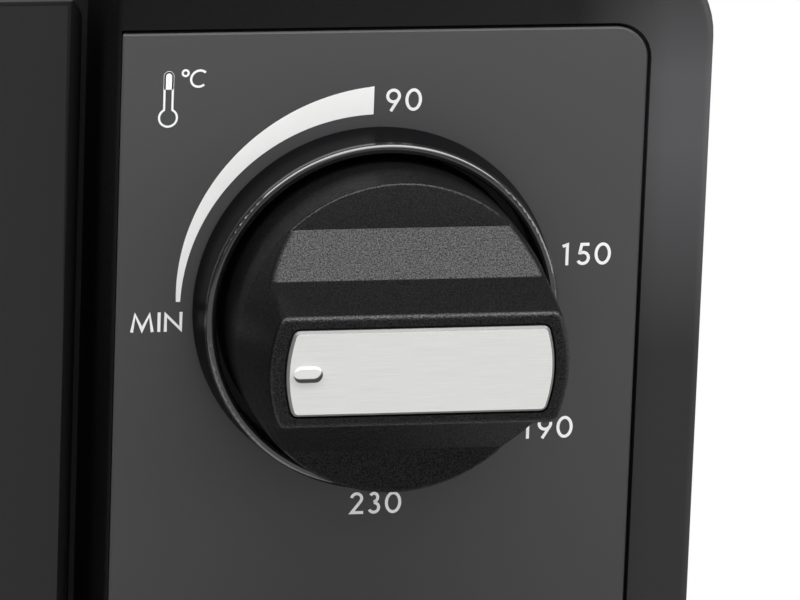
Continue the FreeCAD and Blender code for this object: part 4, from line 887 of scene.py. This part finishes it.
class OVEN_OT_knobs(bpy.types.Operator):
    """Finishes the three knobs: matt grained bodies and brushed plates"""

    bl_idname = "oven.knobs"
    bl_label = "Knobs"

    def execute(self, context):
        colours = context.scene.oven_colours
        body = knob_finish("knob_moulding", colours.knob)
        for name, along, axis in (
            ("temperature", "x", TEMPERATURE_AXIS), ("function", "z", FUNCTION_AXIS), ("timer", "z", TIMER_AXIS)
        ):
            dress(name + "_knob", body)
            dress(name + "_knob_plate", plate_finish(name + "_plate_brushed", colours.plate, along, axis))
        return {"FINISHED"}


class OVEN_OT_body(bpy.types.Operator):
    """Finishes the painted body, its feet, bumpers and gland"""

    bl_idname = "oven.body"
    bl_label = "Body"

    def execute(self, context):
        colours = context.scene.oven_colours
        paint = baked_paint("shell_paint", colours.paint)
        for node in ("outer_shell", "rear_panel", "front_frame"):
            dress(node, paint)
        moulding = grained_moulding("foot_moulding", colours.moulding)
        for node in ("feet", "wall_spacers"):
            dress(node, moulding)
        rubber = plain_grain("rubber", (0.016, 0.016, 0.016), 0.75, grain=0.3, depth=0.02)
        for node in ("foot_pads", "cord_gland"):
            dress(node, rubber)
        zinc = material_named("zinc_coating", sheet_steel, "zinc_coating", (0.52, 0.53, 0.54))
        dress("base_plate", zinc)
        return {"FINISHED"}


class OVEN_OT_door(bpy.types.Operator):
    """Finishes the door, its pane, handle and hinge steel"""

    bl_idname = "oven.door"
    bl_label = "Door"

    def execute(self, context):
        door = gloss_moulding("door_moulding", (0.012, 0.012, 0.013))
        for node in ("door_frame", "handle_posts"):
            dress(node, door)
        dress("door_glass", smoked_pane((0.42, 0.42, 0.43)))
        dress("door_handle", brushed_metal("handle_brushed", (0.62, 0.62, 0.60), "x", (0.22, 0.34), 0.06))
        zinc = material_named("zinc_coating", sheet_steel, "zinc_coating", (0.52, 0.53, 0.54))
        for node in ("door_glass_retainer", "hinge_brackets", "hinge_pins", "door_stays"):
            dress(node, zinc)
        return {"FINISHED"}


class OVEN_OT_cavity(bpy.types.Operator):
    """Finishes the cavity, the heaters, the rack, the tray and the crumb drawer"""

    bl_idname = "oven.cavity"
    bl_label = "Cavity"

    def execute(self, context):
        liner = sheet_steel("cavity_liner", (0.46, 0.47, 0.47), (0.34, 0.50), 9.0)
        for node in ("cavity_left_wall", "cavity_right_wall", "cavity_roof", "cavity_back_wall", "cavity_floor"):
            dress(node, liner)
        sheath = plain_grain("heater_tube", (0.07, 0.065, 0.06), 0.55, 0.6, 0.4, 0.02)
        for node in ("upper_heating_elements", "lower_heating_elements"):
            dress(node, sheath)
        dress("element_insulators", plain_grain("insulator_ceramic", (0.74, 0.72, 0.66), 0.35, grain=0.6))
        dress("wire_rack", plain_grain("rack_chrome", (0.70, 0.70, 0.71), 0.16, 1.0, 2.0, 0.002))
        dress("baking_tray", plain_grain("black_enamel", (0.014, 0.014, 0.016), 0.16, grain=0.35, depth=0.004))
        zinc = material_named("zinc_coating", sheet_steel, "zinc_coating", (0.52, 0.53, 0.54))
        dress("crumb_tray", zinc)
        return {"FINISHED"}


class OVEN_OT_works(bpy.types.Operator):
    """Finishes the hidden works behind the controls"""

    bl_idname = "oven.works"
    bl_label = "Works"

    def execute(self, context):
        zinc = material_named("zinc_coating", sheet_steel, "zinc_coating", (0.52, 0.53, 0.54))
        names = ["control_bracket", "heat_shield", "control_nuts", "bulb_clips", "timer"]
        names += [name + "_shaft" for name in ("temperature", "function", "timer")]
        for node in names:
            dress(node, zinc)
        pale = plain_grain("pale_moulding", (0.58, 0.54, 0.46), 0.5, grain=0.6)
        for node in ("thermostat", "function_switch", "indicator_lamp"):
            dress(node, pale)
        dress("terminal_block", material_named("insulator_ceramic", plain_grain, "insulator_ceramic", (0.74, 0.72, 0.66), 0.35))
        dress("thermostat_bulb", plain_grain("bulb_copper", (0.72, 0.38, 0.24), 0.3, 1.0, 1.5, 0.003))
        dress("timer_bell", plain_grain("bell_nickel", (0.66, 0.65, 0.61), 0.2, 1.0, 1.5, 0.002))
        return {"FINISHED"}


class OVEN_OT_stage(bpy.types.Operator):
    """Sets the floor, the lights and the camera"""

    bl_idname = "oven.stage"
    bl_label = "Stage"

    def execute(self, context):
        stage = context.scene.oven_stage
        self.floor(context.scene.oven_colours.backdrop)
        self.world(context.scene.oven_colours.backdrop, stage.ambient)
        target = Vector((TEMPERATURE_AXIS.x + stage.aim_right, PANEL_FACE, TEMPERATURE_AXIS.z + stage.aim_up))
        self.softbox("key_light", target, -3.0, 74.0, 0.52, 1.60, 0.36, stage.key_power)
        self.softbox("fill_light", target, 14.0, 48.0, 1.2, 0.9, 0.8, stage.fill_power)
        self.softbox("side_light", target, 64.0, 8.0, 1.4, 0.9, 0.6, stage.side_power)
        self.camera(target, stage)
        context.scene.view_settings.view_transform = "Standard"
        return {"FINISHED"}

    def floor(self, colour):
        """A wide pale floor that shows white and takes a soft shadow."""
        bm = bmesh.new()
        reach = 30.0
        corners = [bm.verts.new((x * reach, y * reach, -0.0002)) for x, y in ((-1, -1), (1, -1), (1, 1), (-1, 1))]
        bm.faces.new(corners)
        mesh = bpy.data.meshes.new("floor")
        bm.to_mesh(mesh)
        bm.free()
        material = self.floor_finish(colour)
        mesh.materials.append(material)
        floor = bpy.data.objects.new("floor", mesh)
        bpy.context.scene.collection.objects.link(floor)

    def floor_finish(self, colour):
        """Pale near the oven, where its shadow falls, and white further away."""
        material, tree, shader = new_finish("pale_floor", scaled(colour, 0.80), 0.9)
        place = tree.nodes.new("ShaderNodeTexCoord")
        length = tree.nodes.new("ShaderNodeVectorMath")
        length.operation = "LENGTH"
        tree.links.new(place.outputs["Object"], length.inputs[0])
        far = spread(tree, length.outputs["Value"], 0.0, 1.0, 0.30, 0.46)
        path = tree.nodes.new("ShaderNodeLightPath")
        mirrored = self.combine(tree, "ADD", path.outputs["Is Glossy Ray"], path.outputs["Is Transmission Ray"])
        seen = self.combine(tree, "MAXIMUM", path.outputs["Is Camera Ray"], mirrored)
        both = self.combine(tree, "MULTIPLY", far, seen)
        white = tree.nodes.new("ShaderNodeEmission")
        white.inputs["Color"].default_value = (*colour[:3], 1.0)
        level = self.combine(tree, "MAXIMUM", path.outputs["Is Camera Ray"], 0.4)
        tree.links.new(level, white.inputs["Strength"])
        mix = tree.nodes.new("ShaderNodeMixShader")
        tree.links.new(both, mix.inputs["Fac"])
        tree.links.new(shader.outputs["BSDF"], mix.inputs[1])
        tree.links.new(white.outputs["Emission"], mix.inputs[2])
        tree.links.new(mix.outputs["Shader"], tree.nodes["Material Output"].inputs["Surface"])
        return material

    def combine(self, tree, operation, first, second):
        """Joins a value and a second value or number in one operation."""
        node = tree.nodes.new("ShaderNodeMath")
        node.operation = operation
        node.use_clamp = True
        tree.links.new(first, node.inputs[0])
        if isinstance(second, (int, float)):
            node.inputs[1].default_value = second
        else:
            tree.links.new(second, node.inputs[1])
        return node.outputs["Value"]

    def world(self, colour, strength):
        """White behind the oven and wherever the camera looks, and an even, dimmer light elsewhere."""
        world = bpy.data.worlds.new("studio")
        world.use_nodes = True
        tree = world.node_tree
        tree.nodes.clear()
        light = tree.nodes.new("ShaderNodeBackground")
        out = tree.nodes.new("ShaderNodeOutputWorld")
        place = tree.nodes.new("ShaderNodeTexCoord")
        way = tree.nodes.new("ShaderNodeSeparateXYZ")
        path = tree.nodes.new("ShaderNodeLightPath")
        tree.links.new(place.outputs["Generated"], way.inputs["Vector"])
        behind = spread(tree, way.outputs["Y"], 0.0, 1.0, 0.60, 0.95)
        mirrored_even = spread(tree, way.outputs["Z"], 0.12 * strength, 0.75 * strength, -0.1, 0.9)
        even = self.combine(tree, "MAXIMUM", mirrored_even, self.combine(
            tree, "MULTIPLY", path.outputs["Is Diffuse Ray"], strength))
        mirrored = self.combine(tree, "ADD", path.outputs["Is Glossy Ray"], path.outputs["Is Transmission Ray"])
        reflected = self.combine(tree, "MULTIPLY", mirrored, behind)
        seen = self.combine(tree, "MAXIMUM", path.outputs["Is Camera Ray"], reflected)
        total = self.combine(tree, "MAXIMUM", seen, even)
        light.inputs["Color"].default_value = (*colour[:3], 1.0)
        tree.links.new(total, light.inputs["Strength"])
        tree.links.new(light.outputs["Background"], out.inputs["Surface"])
        bpy.context.scene.world = world

    def softbox(self, name, target, azimuth, elevation, distance, width, height, power):
        """A soft lamp that looks at the target from a direction, in degrees."""
        a, e = math.radians(azimuth), math.radians(elevation)
        back = Vector((math.sin(a) * math.cos(e), -math.cos(a) * math.cos(e), math.sin(e)))
        data = bpy.data.lights.new(name, "AREA")
        data.shape = "RECTANGLE"
        data.size = width
        data.size_y = height
        data.energy = power
        lamp = bpy.data.objects.new(name, data)
        lamp.location = target + back * distance
        lamp.rotation_euler = (-back).to_track_quat("-Z", "Y").to_euler()
        bpy.context.scene.collection.objects.link(lamp)

    def camera(self, target, stage):
        """A long lens that looks at the upper control from the upper left."""
        a, e = stage.azimuth, stage.elevation
        back = Vector((math.sin(a) * math.cos(e), -math.cos(a) * math.cos(e), math.sin(e)))
        data = bpy.data.cameras.new("photo_view")
        data.sensor_width = 36.0
        data.lens = data.sensor_width * stage.distance / stage.view_width
        data.clip_start = 0.05
        data.clip_end = 100.0
        camera = bpy.data.objects.new("photo_view", data)
        turn = (-back).to_track_quat("-Z", "Y").to_matrix() @ Matrix.Rotation(stage.roll, 3, "Z")
        camera.matrix_world = Matrix.Translation(target + back * stage.distance) @ turn.to_4x4()
        bpy.context.scene.collection.objects.link(camera)
        bpy.context.scene.camera = camera


class OVEN_PT_sidebar(bpy.types.Panel):
    """Lists the oven's settings and pieces"""

    bl_idname = "OVEN_PT_sidebar"
    bl_label = "Countertop oven"
    bl_space_type = "VIEW_3D"
    bl_region_type = "UI"
    bl_category = "Oven"

    def draw(self, context):
        layout = self.layout
        for group in (context.scene.oven_colours, context.scene.oven_print, context.scene.oven_stage):
            column = layout.column(align=True)
            for name in group.__annotations__:
                column.prop(group, name)
        for operator in OPERATORS:
            layout.operator(operator.bl_idname)


GROUPS = {"oven_colours": OvenColours, "oven_print": OvenPrint, "oven_stage": OvenStage}
OPERATORS = (
    OVEN_OT_stage,
    OVEN_OT_control_block,
    OVEN_OT_knobs,
    OVEN_OT_temperature_print,
    OVEN_OT_function_print,
    OVEN_OT_timer_print,
    OVEN_OT_body,
    OVEN_OT_door,
    OVEN_OT_cavity,
    OVEN_OT_works,
    OVEN_OT_screws,
)


def register():
    """Registers the settings, the operators and the sidebar."""
    for name, group in GROUPS.items():
        bpy.utils.register_class(group)
        setattr(bpy.types.Scene, name, bpy.props.PointerProperty(type=group))
    for operator in OPERATORS:
        bpy.utils.register_class(operator)
    bpy.utils.register_class(OVEN_PT_sidebar)


def unregister():
    """Takes them away again."""
    bpy.utils.unregister_class(OVEN_PT_sidebar)
    for operator in reversed(OPERATORS):
        bpy.utils.unregister_class(operator)
    for name, group in reversed(GROUPS.items()):
        delattr(bpy.types.Scene, name)
        bpy.utils.unregister_class(group)


def main():
    """Makes every piece."""
    register()
    for operator in OPERATORS:
        area, action = operator.bl_idname.split(".")
        getattr(getattr(bpy.ops, area), action)()


if __name__ == "__main__":
    main()
